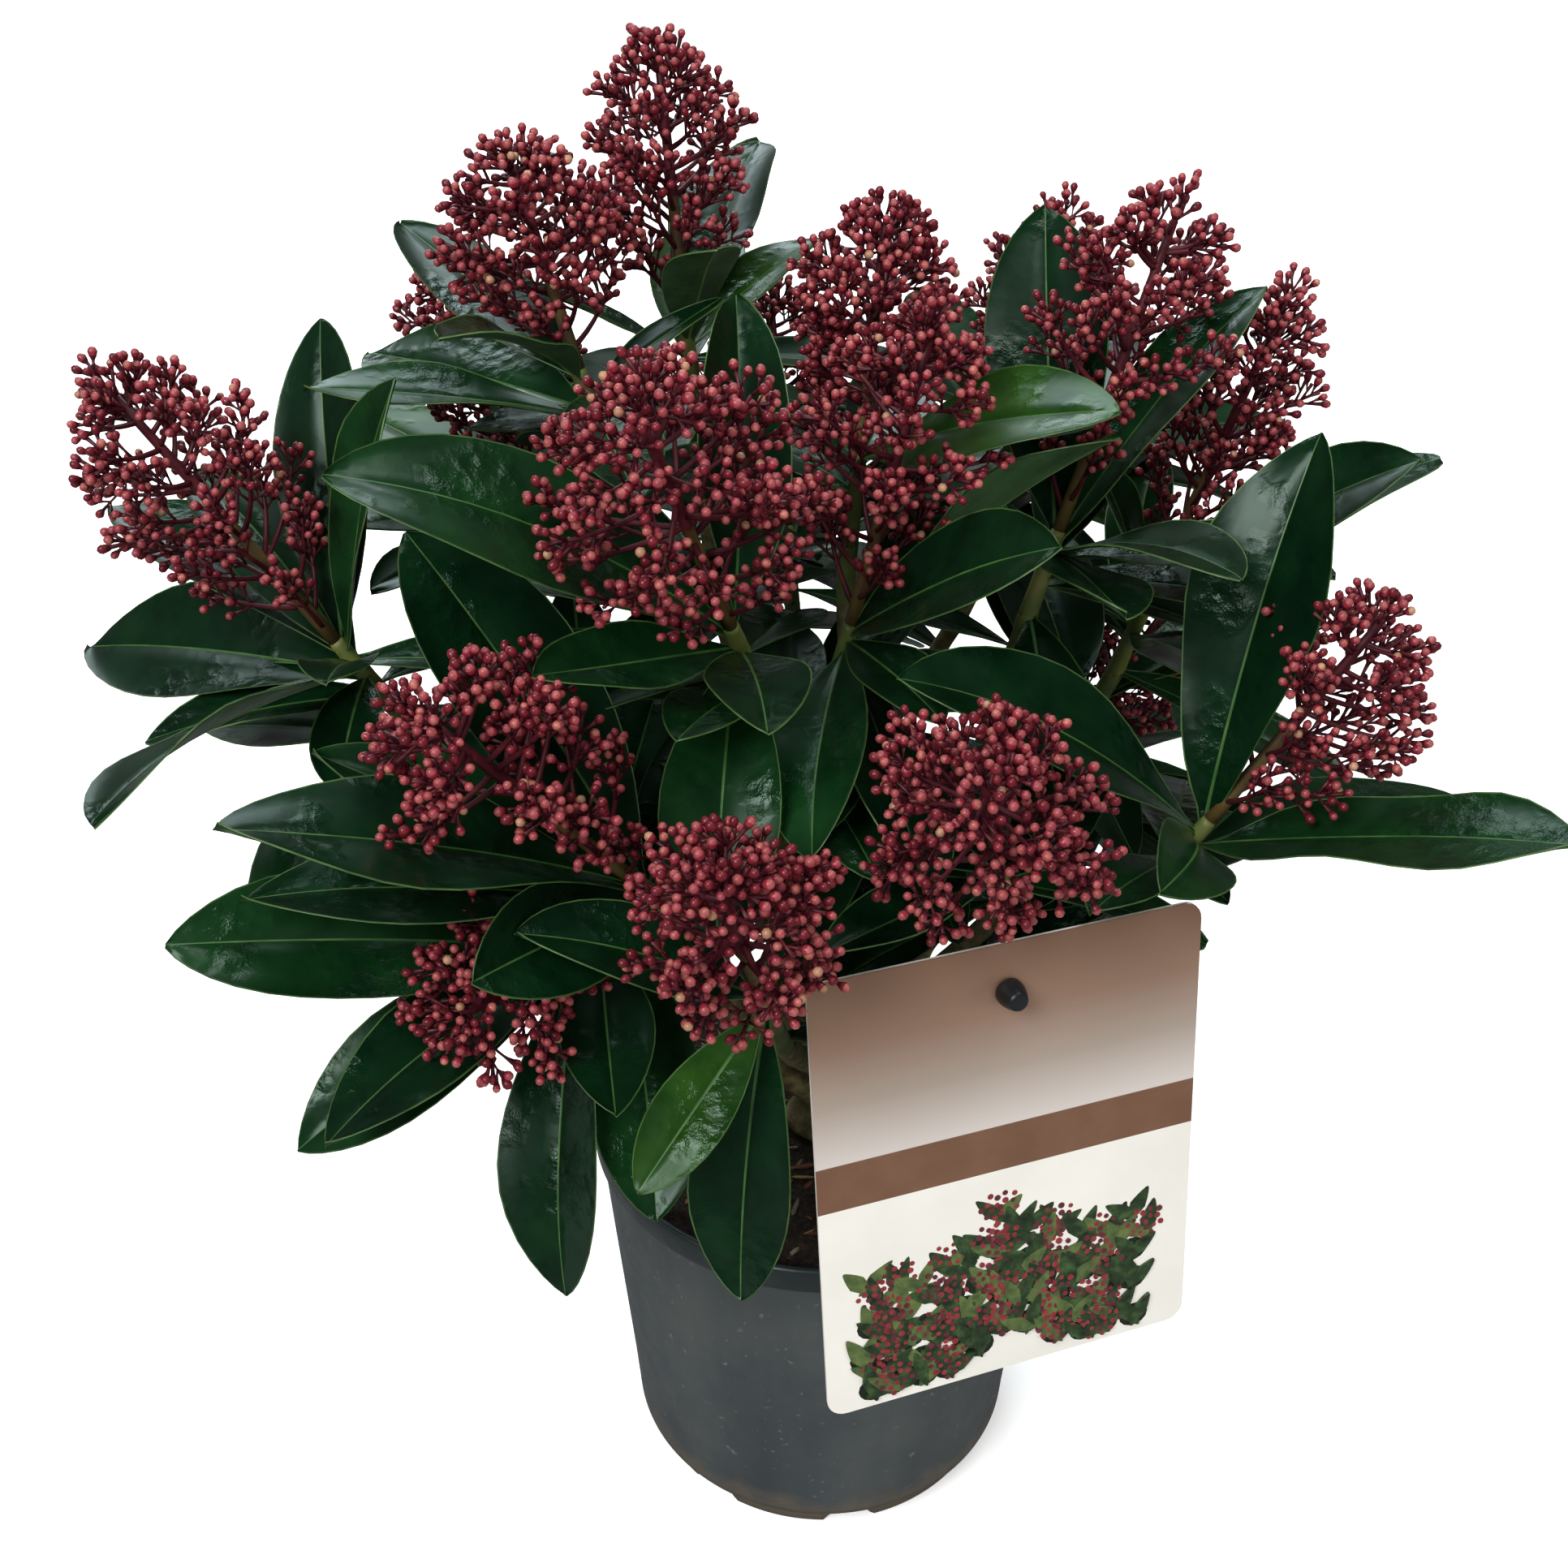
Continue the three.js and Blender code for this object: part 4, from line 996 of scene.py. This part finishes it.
# Each: colour stops, scale and roughness, then the depth and scale of its bump, and its specular level.
SPECKLED = {
    "leaf_under": ([(0.35, "#34502f"), (0.65, "#466540")], 70, 0.5, 0.0004, 400),
    "leaf_rib": ([(0.35, "#2f5427"), (0.65, "#446a33")], 120, 0.4),
    "leaf_rib_under": ([(0.35, "#5f7a40"), (0.65, "#778d50")], 120, 0.45),
    "leaf_edge": ([(0.35, "#36532a"), (0.65, "#4f6f38")], 140, 0.4),
    "stem_green": ([(0.3, "#44552a"), (0.5, "#5d6a31"), (0.7, "#73703d")], 90, 0.5, 0.0003),
    "rachis": ([(0.3, "#3f2a1c"), (0.52, "#584424"), (0.72, "#64592c")], 60, 0.5, 0.0002),
    "stalk": ([(0.3, "#3c0f1a"), (0.55, "#511a23"), (0.75, "#642a2b")], 130, 0.42, 0, 0, 0.3),
    "bud_red": ([(0.3, "#721a28"), (0.5, "#862432"), (0.7, "#99323d")], 300, 0.3),
    "bud_dark": ([(0.3, "#53111a"), (0.5, "#681924"), (0.7, "#7b262e")], 300, 0.3, 0, 0, 0.4),
    "bud_foot": ([(0.3, "#3f121a"), (0.6, "#561c23")], 300, 0.45, 0, 0, 0.3),
    "bud_tip": ([(0.3, "#86303a"), (0.55, "#9c4749"), (0.75, "#b8725f")], 300, 0.4),
    "bud_cream": ([(0.3, "#99684f"), (0.6, "#b5896b")], 300, 0.4),
    "pot_lip": ([(0.35, "#222b2d"), (0.65, "#2c3436")], 90, 0.34),
    # The thin strip just under the pot's rim band is a darker grey: painted shadow cast by the lip onto the
    # wall.
    "pot_line": ([(0.35, "#20272a"), (0.65, "#2b3235")], 90, 0.5),
    "chip_tan": ([(0.3, "#7a5a36"), (0.7, "#a5834f")], 400, 0.85, 0.0005),
    "chip_red": ([(0.3, "#55321f"), (0.7, "#7d4a2c")], 400, 0.85, 0.0005),
    "chip_grey": ([(0.3, "#5d5448"), (0.7, "#857a68")], 400, 0.85, 0.0005),
    "stick": ([(0.35, "#101214"), (0.65, "#1c1f22")], 120, 0.38),
    "card_white": ([(0.35, "#efece2"), (0.65, "#f5f2e9")], 30, 0.34),
    "card_band": ([(0.35, "#72513e"), (0.65, "#7b5944")], 60, 0.34),
    "print_leaf": ([(0.3, "#121f10"), (0.5, "#263a1f"), (0.7, "#3f5a30")], 260, 0.34),
    "print_shade": ([(0.3, "#0d150c"), (0.7, "#1a2615")], 260, 0.34),
    "print_light": ([(0.3, "#34492a"), (0.7, "#66763f")], 260, 0.34),
    "print_red": ([(0.3, "#702229"), (0.7, "#983a3e")], 500, 0.34),
    "print_wine": ([(0.3, "#4a1a22"), (0.7, "#71303a")], 500, 0.34),
}
LEAF_GREENS = {
    "leaf_deep": ["#041a0b", "#0b2a14"],
    "leaf_mid": ["#082510", "#133718"],
    "leaf_fresh": ["#15340e", "#284b15"],
}

MATERIALS = {name: speckled(name, *row) for name, row in SPECKLED.items()}
MATERIALS.update({name: leaf_green(name, *greens) for name, greens in LEAF_GREENS.items()})
MATERIALS.update(bark=bark_skin(), pot=pot_plastic(), soil=soil_crumb(), card_upper=card_blend())


# ---- Trunk and boughs ----

RING_SPACING = 1.6
COLLAR = {"swell": 0.28, "length": 7}
GREEN_FROM = 0.86
STEM_RINGS = 20
RACHIS_GREEN = 4


def bark_relief(curve_length, rings, seed, depth):
    """Shallow lengthwise ridges that wander, and raised rings of old leaf scars."""
    rolls = Dice(seed)
    scars = [(rolls.roll() * rings, 2 * math.pi * rolls.roll()) for _ in range(int(curve_length / 6))]

    def relief(i, angle):
        place = Vector((2.2 * math.cos(angle), 2.2 * math.sin(angle), 0.16 * i + seed))
        height = depth * noise.noise(place)
        fine = Vector((5 * math.cos(angle), 5 * math.sin(angle), 0.7 * i + seed))
        height += 0.4 * depth * noise.noise(fine)
        for ring, turn in scars:
            along = (i - ring) * RING_SPACING / 1.5
            if abs(along) < 2.5:
                facing = math.cos(angle - turn)
                height += 0.6 * depth * math.exp(-along * along) * max(0, facing) ** 3
        return height

    return relief


def make_trunk(curve):
    builder = Builder()
    line = curve.points_along(RING_SPACING)
    radii = [float(trunk_radius(share)) for share in np.linspace(0, 1, len(line))]
    radii[-1] *= 0.82
    add_tube(builder, line, radii, 26, "bark", bark_relief(curve.length, len(line), 7, 0.9))
    piece = builder.piece("trunk_bark", "bark")
    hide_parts("trunk")


def make_bough(shoot, curve, radii, s):
    """The bough's bark, swollen where it leaves its parent and green near the shoot."""
    builder = Builder()
    line = curve.points_along(RING_SPACING)
    shares = np.linspace(0, 1, len(line))
    swell = COLLAR["swell"] * radii[0] * np.exp(-shares * curve.length / COLLAR["length"])
    widths = lerp(radii[0], radii[1], shares) + swell
    relief = bark_relief(curve.length, len(line), 20 + s, 0.09 * radii[0])
    tones = ["bark" if share < GREEN_FROM else "stem_green" for share in shares[1:]]
    add_tube(builder, line, list(widths), 14, tones, relief)
    piece = builder.piece(f"limb_{shoot['name']}", "bark")
    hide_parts(f"bough_{shoot['name']}")


def add_leafy_stem(builder, shoot, s):
    """The green top of the shoot, ridged under each leaf's foot."""
    line = [on_axis(shoot, d) for d in np.linspace(-SHOOT_STEM - 1, 0, STEM_RINGS)]
    widths = list(np.linspace(*STEM_RADII, STEM_RINGS))
    widths[-1] *= 0.9
    add_tube(builder, line, widths, 12, "stem_green", bark_relief(SHOOT_STEM, STEM_RINGS, 60 + s, 0.3))


def make_foliage(shoot, leaves, s):
    twigs, blades = Builder(), Builder()
    add_leafy_stem(twigs, shoot, s)
    rolls = Dice(SEEDS["blades"] + s)
    for leaf in leaves:
        if leaf.owner == shoot["name"]:
            add_leaf(blades, leaf, rolls)
    stem = twigs.piece(f"stem_{shoot['name']}", "bark")
    foliage = blades.piece(f"foliage_{shoot['name']}", "foliage")
    for piece in (stem, foliage):
        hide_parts(f"leaves_{shoot['name']}")


def make_flowers(shoot, head):
    stalks, buds = Builder(), Builder()
    for line, radii, tone in head.stalks:
        if tone == "rachis":
            tones = ["rachis"] * RACHIS_GREEN + ["stalk"] * (len(line) - 1 - RACHIS_GREEN)
            add_tube(stalks, vector(line), radii, 10, tones)
        else:
            add_tube(stalks, vector(line), radii, 6 if len(line) > 3 else 4, tone)
    for bud in head.buds:
        add_bud(buds, *bud)
    for builder, kind in ((stalks, "stalks"), (buds, "buds")):
        piece = builder.piece(f"{kind}_{shoot['name']}", "flowers")
        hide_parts(f"flowers_{shoot['name']}")


# ---- Pot and soil ----

POT_STEPS = 240
NOTCH_SLOPE = 3
NOTCH_HEIGHT = 5


def wall_radius(z):
    return lerp(FOOT_RADIUS + 4, RIM_RADIUS - 1.5, z / POT_HEIGHT)


def notch_depth(angle):
    """How far the foot is cut away at an angle: 1 in a notch, falling off over its sloped sides."""
    step = 2 * math.pi / NOTCH_COUNT
    off = (angle - math.radians(FIRST_NOTCH) + step / 2) % step - step / 2
    return min(1, max(0, (NOTCH_WIDTH / 2 + NOTCH_SLOPE - abs(off) * FOOT_RADIUS) / NOTCH_SLOPE))


def pot_outline():
    """The pot's section as (radius, z, tone of the strip above it), from under its middle out, up and in."""
    foot, rim, top, band = FOOT_RADIUS, RIM_RADIUS, POT_HEIGHT, POT_HEIGHT - RIM_BAND
    inside = FOOT_HEIGHT + WALL
    wall = [
        (0, 0), (PAD_RADIUS, 0), (PAD_RADIUS + 1.6, FOOT_HEIGHT - 1), (foot - 6, FOOT_HEIGHT - 1),
        (foot - 4.6, 0.3), (foot - 4, 0), (foot - 0.6, 0), (foot, 0.6), (foot + 0.6, 5), (foot + 1.4, 8),
        (wall_radius(12.5), 11), (wall_radius(14) + 0.1, 14),
    ]
    wall += [(wall_radius(z), z) for z in np.linspace(18, band - 4, 22)]
    # Just under the rim band: a small real step in the wall, coloured darker as painted shadow of the lip.
    line = [(wall_radius(band) - 0.1, band - 1.6), (wall_radius(band) - 0.3, band - 0.6)]
    lip = [
        (rim - 1.2, band - 0.1), (rim - 0.4, band + 0.3), (rim, band + 1.2), (rim, top - 2.4),
        (rim - 0.3, top - 0.9), (rim - 1.0, top - 0.1), (rim - 1.8, top), (rim - 2.6, top - 0.4),
        (rim - 3.1, top - 2), (wall_radius(band) - WALL, band), (wall_radius(14) - WALL, 14),
        (foot - 2, inside), (0, inside),
    ]
    strips = (("pot", wall), ("pot_line", line), ("pot_lip", lip))
    return [(radius, z, tone) for tone, strip in strips for radius, z in strip]


def make_pot():
    builder = Builder()
    outline = pot_outline()
    points = []
    for radius, z, _ in outline:
        at_foot = FOOT_RADIUS - 8 < radius < FOOT_RADIUS + 3 and z < NOTCH_HEIGHT
        on_wall = FOOT_HEIGHT + 20 < z < POT_HEIGHT - 20
        for angle in circle(POT_STEPS):
            lift = notch_depth(angle) * (NOTCH_HEIGHT - 0.6 * z) if at_foot else 0
            out = radius + (0.12 * math.sin(3 * angle + z / 30) if on_wall else 0)
            points.append((out * math.cos(angle), out * math.sin(angle), z + lift))
    faces = grid_faces(len(outline), POT_STEPS, closed=True)
    builder.add(points, faces, [outline[i // POT_STEPS][2] for i in range(len(faces))])
    piece = builder.piece("pot_shell", "pot")
    weld(piece)
    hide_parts("pot")


def weld(piece):
    """Joins points that lie on each other and drops the faces this leaves empty."""
    mesh = bmesh.new()
    mesh.from_mesh(piece.data)
    bmesh.ops.remove_doubles(mesh, verts=mesh.verts, dist=1e-6)
    bmesh.ops.recalc_face_normals(mesh, faces=mesh.faces)
    mesh.to_mesh(piece.data)
    mesh.free()


SOIL_RINGS = 46
SOIL_STEPS = 150


def soil_height(x, y, edge):
    """Lumpy compost, a little lower at the wall and heaped against the trunk."""
    bumps = 1.7 * noise.noise(Vector((x / 16, y / 16, 1))) + 1.1 * noise.noise(Vector((x / 5, y / 5, 2)))
    bumps += 0.6 * noise.noise(Vector((x / 2.2, y / 2.2, 3)))
    return SOIL_TOP - 1.4 + bumps * min(1, edge / 4) - 2.2 * max(0, 1 - edge / 9)


def make_soil():
    builder = Builder()
    rim = wall_radius(SOIL_TOP) - WALL - 2 * GAP
    points = []
    for i in range(SOIL_RINGS + 1):
        radius = rim * (i / SOIL_RINGS) ** 0.9
        for k in range(SOIL_STEPS):
            angle = 2 * math.pi * (k + 0.5 * (i % 2)) / SOIL_STEPS
            x, y = radius * math.cos(angle), radius * math.sin(angle)
            points.append((x, y, min(soil_height(x, y, rim - radius), POT_HEIGHT - 4)))
    floor = FOOT_HEIGHT + WALL + GAP
    for radius, z in ((wall_radius(14) - WALL - 2 * GAP, 14), (FOOT_RADIUS - 3, floor), (0, floor)):
        points += [(radius * math.cos(angle), radius * math.sin(angle), z) for angle in circle(SOIL_STEPS)]
    faces = [tuple(reversed(face)) for face in grid_faces(SOIL_RINGS + 4, SOIL_STEPS, closed=True)]
    builder.add(points, faces, "soil")
    piece = builder.piece("soil_bed", "soil")
    weld(piece)
    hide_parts("soil")


CHIPS = 420
CHIP_SIZE = {"length": [2.2, 8.5], "width": [0.7, 2.2], "pitch": [-14, 20]}


def make_chips():
    """Wood fibres and bark chips that lie on the compost at all angles."""
    rolls = Dice(SEEDS["chips"])
    builder = Builder()
    rim = wall_radius(SOIL_TOP) - WALL - 6
    faces = grid_faces(4, 4, closed=True) + [(3, 2, 1, 0), (12, 13, 14, 15)]
    for _ in range(CHIPS):
        radius, turn = rim * math.sqrt(rolls.roll()), 2 * math.pi * rolls.roll()
        x, y = radius * math.cos(turn), radius * math.sin(turn)
        length, wide = rolls.between(*CHIP_SIZE["length"]), rolls.between(*CHIP_SIZE["width"])
        along = direction(360 * rolls.roll(), rolls.between(*CHIP_SIZE["pitch"]))
        side, over = square_to(along)
        centre = vector([x, y, min(soil_height(x, y, rim - radius), POT_HEIGHT - 6) + 0.5])
        tone = ("chip_tan", "chip_red", "chip_grey", "chip_red")[int(4 * rolls.roll())]
        if radius < TRUNK_RADII[0] + 3:
            continue
        points = []
        for share, size in ((-0.5, 0.35), (-0.3, 1), (0.25, 0.9), (0.5, 0.25)):
            for a, b in ((-1, -0.35), (1, -0.3), (0.8, 0.4), (-0.9, 0.35)):
                bend = 0.08 * length * (0.25 - share * share)
                offset = 0.5 * wide * size * (a * side + b * over)
                points.append(centre + share * length * along + offset + bend * over)
        builder.add(points, faces, tone)
    piece = builder.piece("soil_chips", "soil", smooth=False)
    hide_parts("soil")


# ---- Card, its print and its stick ----

FRONT = CARD["thickness"]
FIELD_BACK = FRONT - 0.03
PRINT_BASE = FRONT - 0.02
BAND_TOP, BAND_FOOT = 15, -0.5


def rounded(width, height, corner, low, high):
    """The card's outline between two heights, as (across, up) points in turn."""
    half, top = width / 2, height / 2
    points = []
    for across, up, start in ((1, -1, -90), (1, 1, 0), (-1, 1, 90), (-1, -1, 180)):
        centre = (across * (half - corner), up * (top - corner))
        for k in range(7):
            a = math.radians(start + 15 * k)
            points.append((centre[0] + corner * math.cos(a), centre[1] + corner * math.sin(a)))
    clipped = []
    for (x0, y0), (x1, y1) in zip(points, points[1:] + points[:1]):
        clipped.append((x0, y0))
        for level in (low, high):
            if (y0 - level) * (y1 - level) < 0:
                clipped.append((lerp(x0, x1, (level - y0) / (y1 - y0)), level))
    kept = [point for point in clipped if low - 1e-6 <= point[1] <= high + 1e-6]
    return sorted(kept, key=lambda p: math.atan2(p[1] - (low + high) / 2, p[0]))


def add_sheet(builder, outline, low, high, tone):
    """A flat closed slab of a convex outline, from one height over the card's back face to another."""
    count = len(outline)
    points = [card_point(*point, low) for point in outline] + [card_point(*point, high) for point in outline]
    faces = [tuple(reversed(range(count))), tuple(range(count, 2 * count))]
    faces += [(k, (k + 1) % count, count + (k + 1) % count, count + k) for k in range(count)]
    builder.add(points, faces, tone)


def ellipse(across, up, long, wide, turn, sides=18, point=0.0):
    """An oval about a centre; point pulls its two ends out to tips."""
    c, s = math.cos(math.radians(turn)), math.sin(math.radians(turn))
    outline = []
    for a in circle(sides):
        x, y = long * math.cos(a), wide * math.sin(a) * (1 - point * abs(math.cos(a)))
        outline.append((across + x * c - y * s, up + x * s + y * c))
    return outline


PRINT_ROWS = 7
PRINT_ROW_DROP = 6.6
PRINT_PITCH = 8.8
PRINT_HALF = 46
PRINT_FOOT = -70
PRINT_STEP = 0.0012
BUNCH = 18


def print_top(across):
    """Where the printed border's leafy edge runs: three low mounds."""
    return -26 + 6 * math.cos(across / 8.5) + 2 * math.cos(across / 3.1) - 0.004 * across * across


def add_berries(builder, across, up, height, rolls):
    """A bunch of round printed berries, each slab a little prouder than the last."""
    for k in range(BUNCH):
        a, away = math.radians(GOLDEN_ANGLE * k), 1.5 * math.sqrt(k)
        radius = rolls.between(0.75, 1.1)
        place = (across + away * math.cos(a), up + away * math.sin(a))
        tone = "print_red" if rolls.roll() < 0.6 else "print_wine"
        add_sheet(builder, ellipse(*place, radius, radius, 0, 10), PRINT_BASE, height + k * PRINT_STEP, tone)


def add_border(builder):
    """A plain leafy border along the card's foot, with bunches of berries among its leaves."""
    rolls = Dice(SEEDS["print"])
    height = FRONT + 0.02
    for row in range(PRINT_ROWS):
        for i in range(int(2 * PRINT_HALF / PRINT_PITCH) + 1):
            across = -PRINT_HALF + PRINT_PITCH * (i + 0.5 * (row % 2)) + rolls.between(-1.5, 1.5)
            up = max(PRINT_FOOT, print_top(across) - PRINT_ROW_DROP * row + rolls.between(-2, 2))
            if across > PRINT_HALF + 1:
                continue
            if row > 1:
                shade = ellipse(across, up + 1.5, 5, 4.4, 0, 14)
                add_sheet(builder, shade, PRINT_BASE, FRONT + PRINT_STEP * (1 + i % 2), "print_shade")
            for turn in (rolls.between(20, 80), rolls.between(100, 160)):
                tone = ("print_leaf", "print_leaf", "print_light")[int(3 * rolls.roll())]
                long, wide = rolls.between(6, 8), rolls.between(2.3, 3)
                c, s = math.cos(math.radians(turn)), math.sin(math.radians(turn))
                leaf = ellipse(across + 0.6 * long * c, up + 0.6 * long * s, long, wide, turn, 16, 0.5)
                add_sheet(builder, leaf, PRINT_BASE, height, tone)
                height += PRINT_STEP
            if (i + row) % 2:
                add_berries(builder, across, up + 4, height, rolls)
                height += BUNCH * PRINT_STEP


def make_card():
    """White board, its printed fields, and the plain leafy border at its foot."""
    board, fields, border = Builder(), Builder(), Builder()
    w, h, r = CARD["width"], CARD["height"], CARD["corner"]
    whole = rounded(w, h, r, -h, h)
    across, up, radius = CARD_HOLE.values()
    add_ring(board, whole, ellipse(across, up, radius, radius, 0, len(whole)), 0, FIELD_BACK)
    levels = [-h, BAND_FOOT, BAND_TOP, h]
    for k, tone in ((2, "card_upper"), (1, "card_band"), (0, "card_white")):
        add_sheet(fields, rounded(w, h, r, *levels[k : k + 2]), FIELD_BACK, FRONT, tone)
    add_border(border)
    for builder, name in ((board, "card_board"), (fields, "card_fields"), (border, "card_border")):
        piece = builder.piece(name, "card", smooth=False)
        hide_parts("label_card")


def add_ring(builder, outer, inner, low, high):
    """A closed slab with a hole, from two outlines with as many points each."""
    count = len(outer)
    start = math.atan2(outer[0][1], outer[0][0])
    spin = [math.atan2(y - CARD_HOLE["up"], x - CARD_HOLE["across"]) for x, y in inner]
    first = min(range(count), key=lambda k: abs((spin[k] - start + math.pi) % (2 * math.pi) - math.pi))
    inner = inner[first:] + inner[:first]
    points = []
    for outline, z in ((outer, low), (outer, high), (inner, high), (inner, low)):
        points += [card_point(*point, z) for point in outline]
    faces = []
    for row in range(4):
        a, b = row * count, (row + 1) % 4 * count
        faces += [(a + k, a + (k + 1) % count, b + (k + 1) % count, b + k) for k in range(count)]
    builder.add(points, faces, "card_white")


def add_turned(builder, start, end, profile, sides=24):
    """A round part of the stick between two points: profile gives (share along it, radius)."""
    centres = [lerp(start, end, share) for share, _ in profile]
    add_tube(builder, centres, [radius for _, radius in profile], sides, "stick")


def make_stick():
    """A dark moulded stick with a rounded head, and the cone-ended pin that holds the card."""
    def behind(distance, rise=0):
        return card_point(CARD_HOLE["across"], CARD_HOLE["up"] + rise, -distance)

    builder = Builder()
    hub = behind(STICK_BEHIND)
    rod = [(0, 0.4 * STICK_RADIUS), (0.03, STICK_RADIUS), (0.97, STICK_RADIUS), (1.0, 0.95 * STICK_RADIUS)]
    add_turned(builder, vector(STICK_FOOT), hub, rod)
    wide = STICK_HEAD["radius"]
    neck = [(0, 0.9 * STICK_RADIUS), (0.3, STICK_RADIUS), (0.72, 0.92 * wide), (0.86, wide)]
    neck += [(0.96, 0.8 * wide), (1.0, 0.4 * wide)]
    add_turned(builder, hub, behind(STICK_HEAD["behind"], STICK_HEAD["up"]), neck)
    add_turned(builder, behind(6), behind(-3), [(0, 1.5), (0.1, 1.8), (1, 1.8)])
    wide, tip = KNOB["radii"]
    knob = [(0, 0.88 * wide), (0.08, wide), (0.34, wide), (0.6, 0.9 * wide), (0.88, 0.72 * wide)]
    knob += [(0.97, 0.64 * wide), (1, 1.2 * tip)]
    add_turned(builder, behind(-KNOB["from"]), behind(-KNOB["to"]), knob, 32)
    piece = builder.piece("stick_body", "stick")
    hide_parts("label_stick")


# ---- Stage: floor, light and camera ----

CAMERA_PLACE = (-0.015, -0.493, 0.606)
CAMERA_TILT = 57.4
IMAGE_SIDE = 1932
FOCAL_PIXELS = 2200
SENSOR = 36
FLOOR_RADIUS = 6
FLOOR_BOUNCE = "#7c7c7c"
FLOOR_GLOW = [0.42, 0.98]
GLOW_REACH = [0.25, 1.1]
WORLD_GLOW = 0.1
# Each lamp: its place, what it faces, its size, power and colour, and whether gloss reflects it.
LAMPS = {
    "key": [(-0.9, -1.3, 1.7), (0, 0, 0.25), 1.1, 36, (1, 1, 1), True],
    "sky": [(-0.5, 1.7, 1.7), (0, 0, 0.3), 1.7, 30, (0.82, 0.95, 1), True],
    "top": [(0.5, 0.0, 2.3), (0, 0, 0.25), 1.0, 15, (1, 1, 1), True],
    "front": [(0.7, -2.3, 1.0), (0, 0, 0.2), 3, 32, (1, 1, 1), False],
    "back": [(-0.6, 2.4, 1.0), (0, 0, 0.2), 2.6, 22, (1, 1, 1), False],
    "side": [(2.0, -0.7, 0.35), (0.06, 0, 0.1), 0.9, 8, (1, 1, 1), False],
}


def make_floor():
    mesh = bpy.data.meshes.new("floor")
    points = [(FLOOR_RADIUS * math.cos(turn), FLOOR_RADIUS * math.sin(turn), 0) for turn in circle(96)]
    mesh.from_pydata(points, [], [tuple(range(96))])
    floor = new_object("floor", mesh)
    pale = Nodes("floor")
    seen = pale.add("LightPath")["Is Camera Ray"]
    coat = pale.ramp(pale.noise(3), [(0.3, "#f6f6f6"), (0.7, "#fafafa")])
    pale.feed("Base Color", pale.mix(seen, FLOOR_BOUNCE, coat))
    away = pale.add("VectorMath", {0: pale.place}, operation="LENGTH")["Value"]
    pale.feed("Emission Strength", pale.times(pale.span(away, *FLOOR_GLOW, *GLOW_REACH), seen))
    pale.set(Roughness=0.9, Emission_Color=(1, 1, 1, 1))
    mesh.materials.append(pale.material)


def make_light():
    world = bpy.data.worlds.new("studio")
    bpy.context.scene.world = world
    world.use_nodes = True
    tree = world.node_tree
    backdrop = tree.nodes["Background"].inputs
    backdrop["Color"].default_value = (1, 1, 1, 1)
    seen = add_node(tree, "LightPath")["Is Camera Ray"]
    glow = add_node(tree, "Math", {0: seen, 1: WORLD_GLOW}, operation="MAXIMUM")[0]
    tree.links.new(glow, backdrop["Strength"])
    for name, (place, aim, size, power, tint, glint) in LAMPS.items():
        light = bpy.data.lights.new(name, "AREA")
        light.shape = "DISK"
        light.size, light.energy, light.color = size, power, tint
        lamp = new_object(name, light)
        lamp.location = place
        lamp.visible_glossy, lamp.visible_camera = glint, False
        lamp.rotation_euler = (Vector(aim) - Vector(place)).to_track_quat("-Z", "Y").to_euler()


def make_camera():
    lens = bpy.data.cameras.new("camera")
    lens.sensor_width = SENSOR
    lens.lens = FOCAL_PIXELS / IMAGE_SIDE * SENSOR
    camera = new_object("camera", lens)
    camera.location = CAMERA_PLACE
    camera.rotation_euler = (math.radians(CAMERA_TILT), 0, 0)
    bpy.context.scene.camera = camera


# ---- Building it all ----

curves, radii, wood = grow_wood()
leaves = grow_leaves(wood)
grow_inner(curves, leaves, wood)
make_trunk(curves["trunk"])
taken = Taken()
for s, shoot in enumerate(SHOOTS):
    make_bough(shoot, curves[shoot["name"]], radii[shoot["name"]], s)
    make_foliage(shoot, leaves, s)
    make_flowers(shoot, grow_head(shoot, SEEDS["head"] + s, leaves, wood, taken))
make_pot()
make_soil()
make_chips()
make_card()
make_stick()
make_floor()
make_light()
make_camera()
bpy.context.scene.view_settings.view_transform = "Standard"
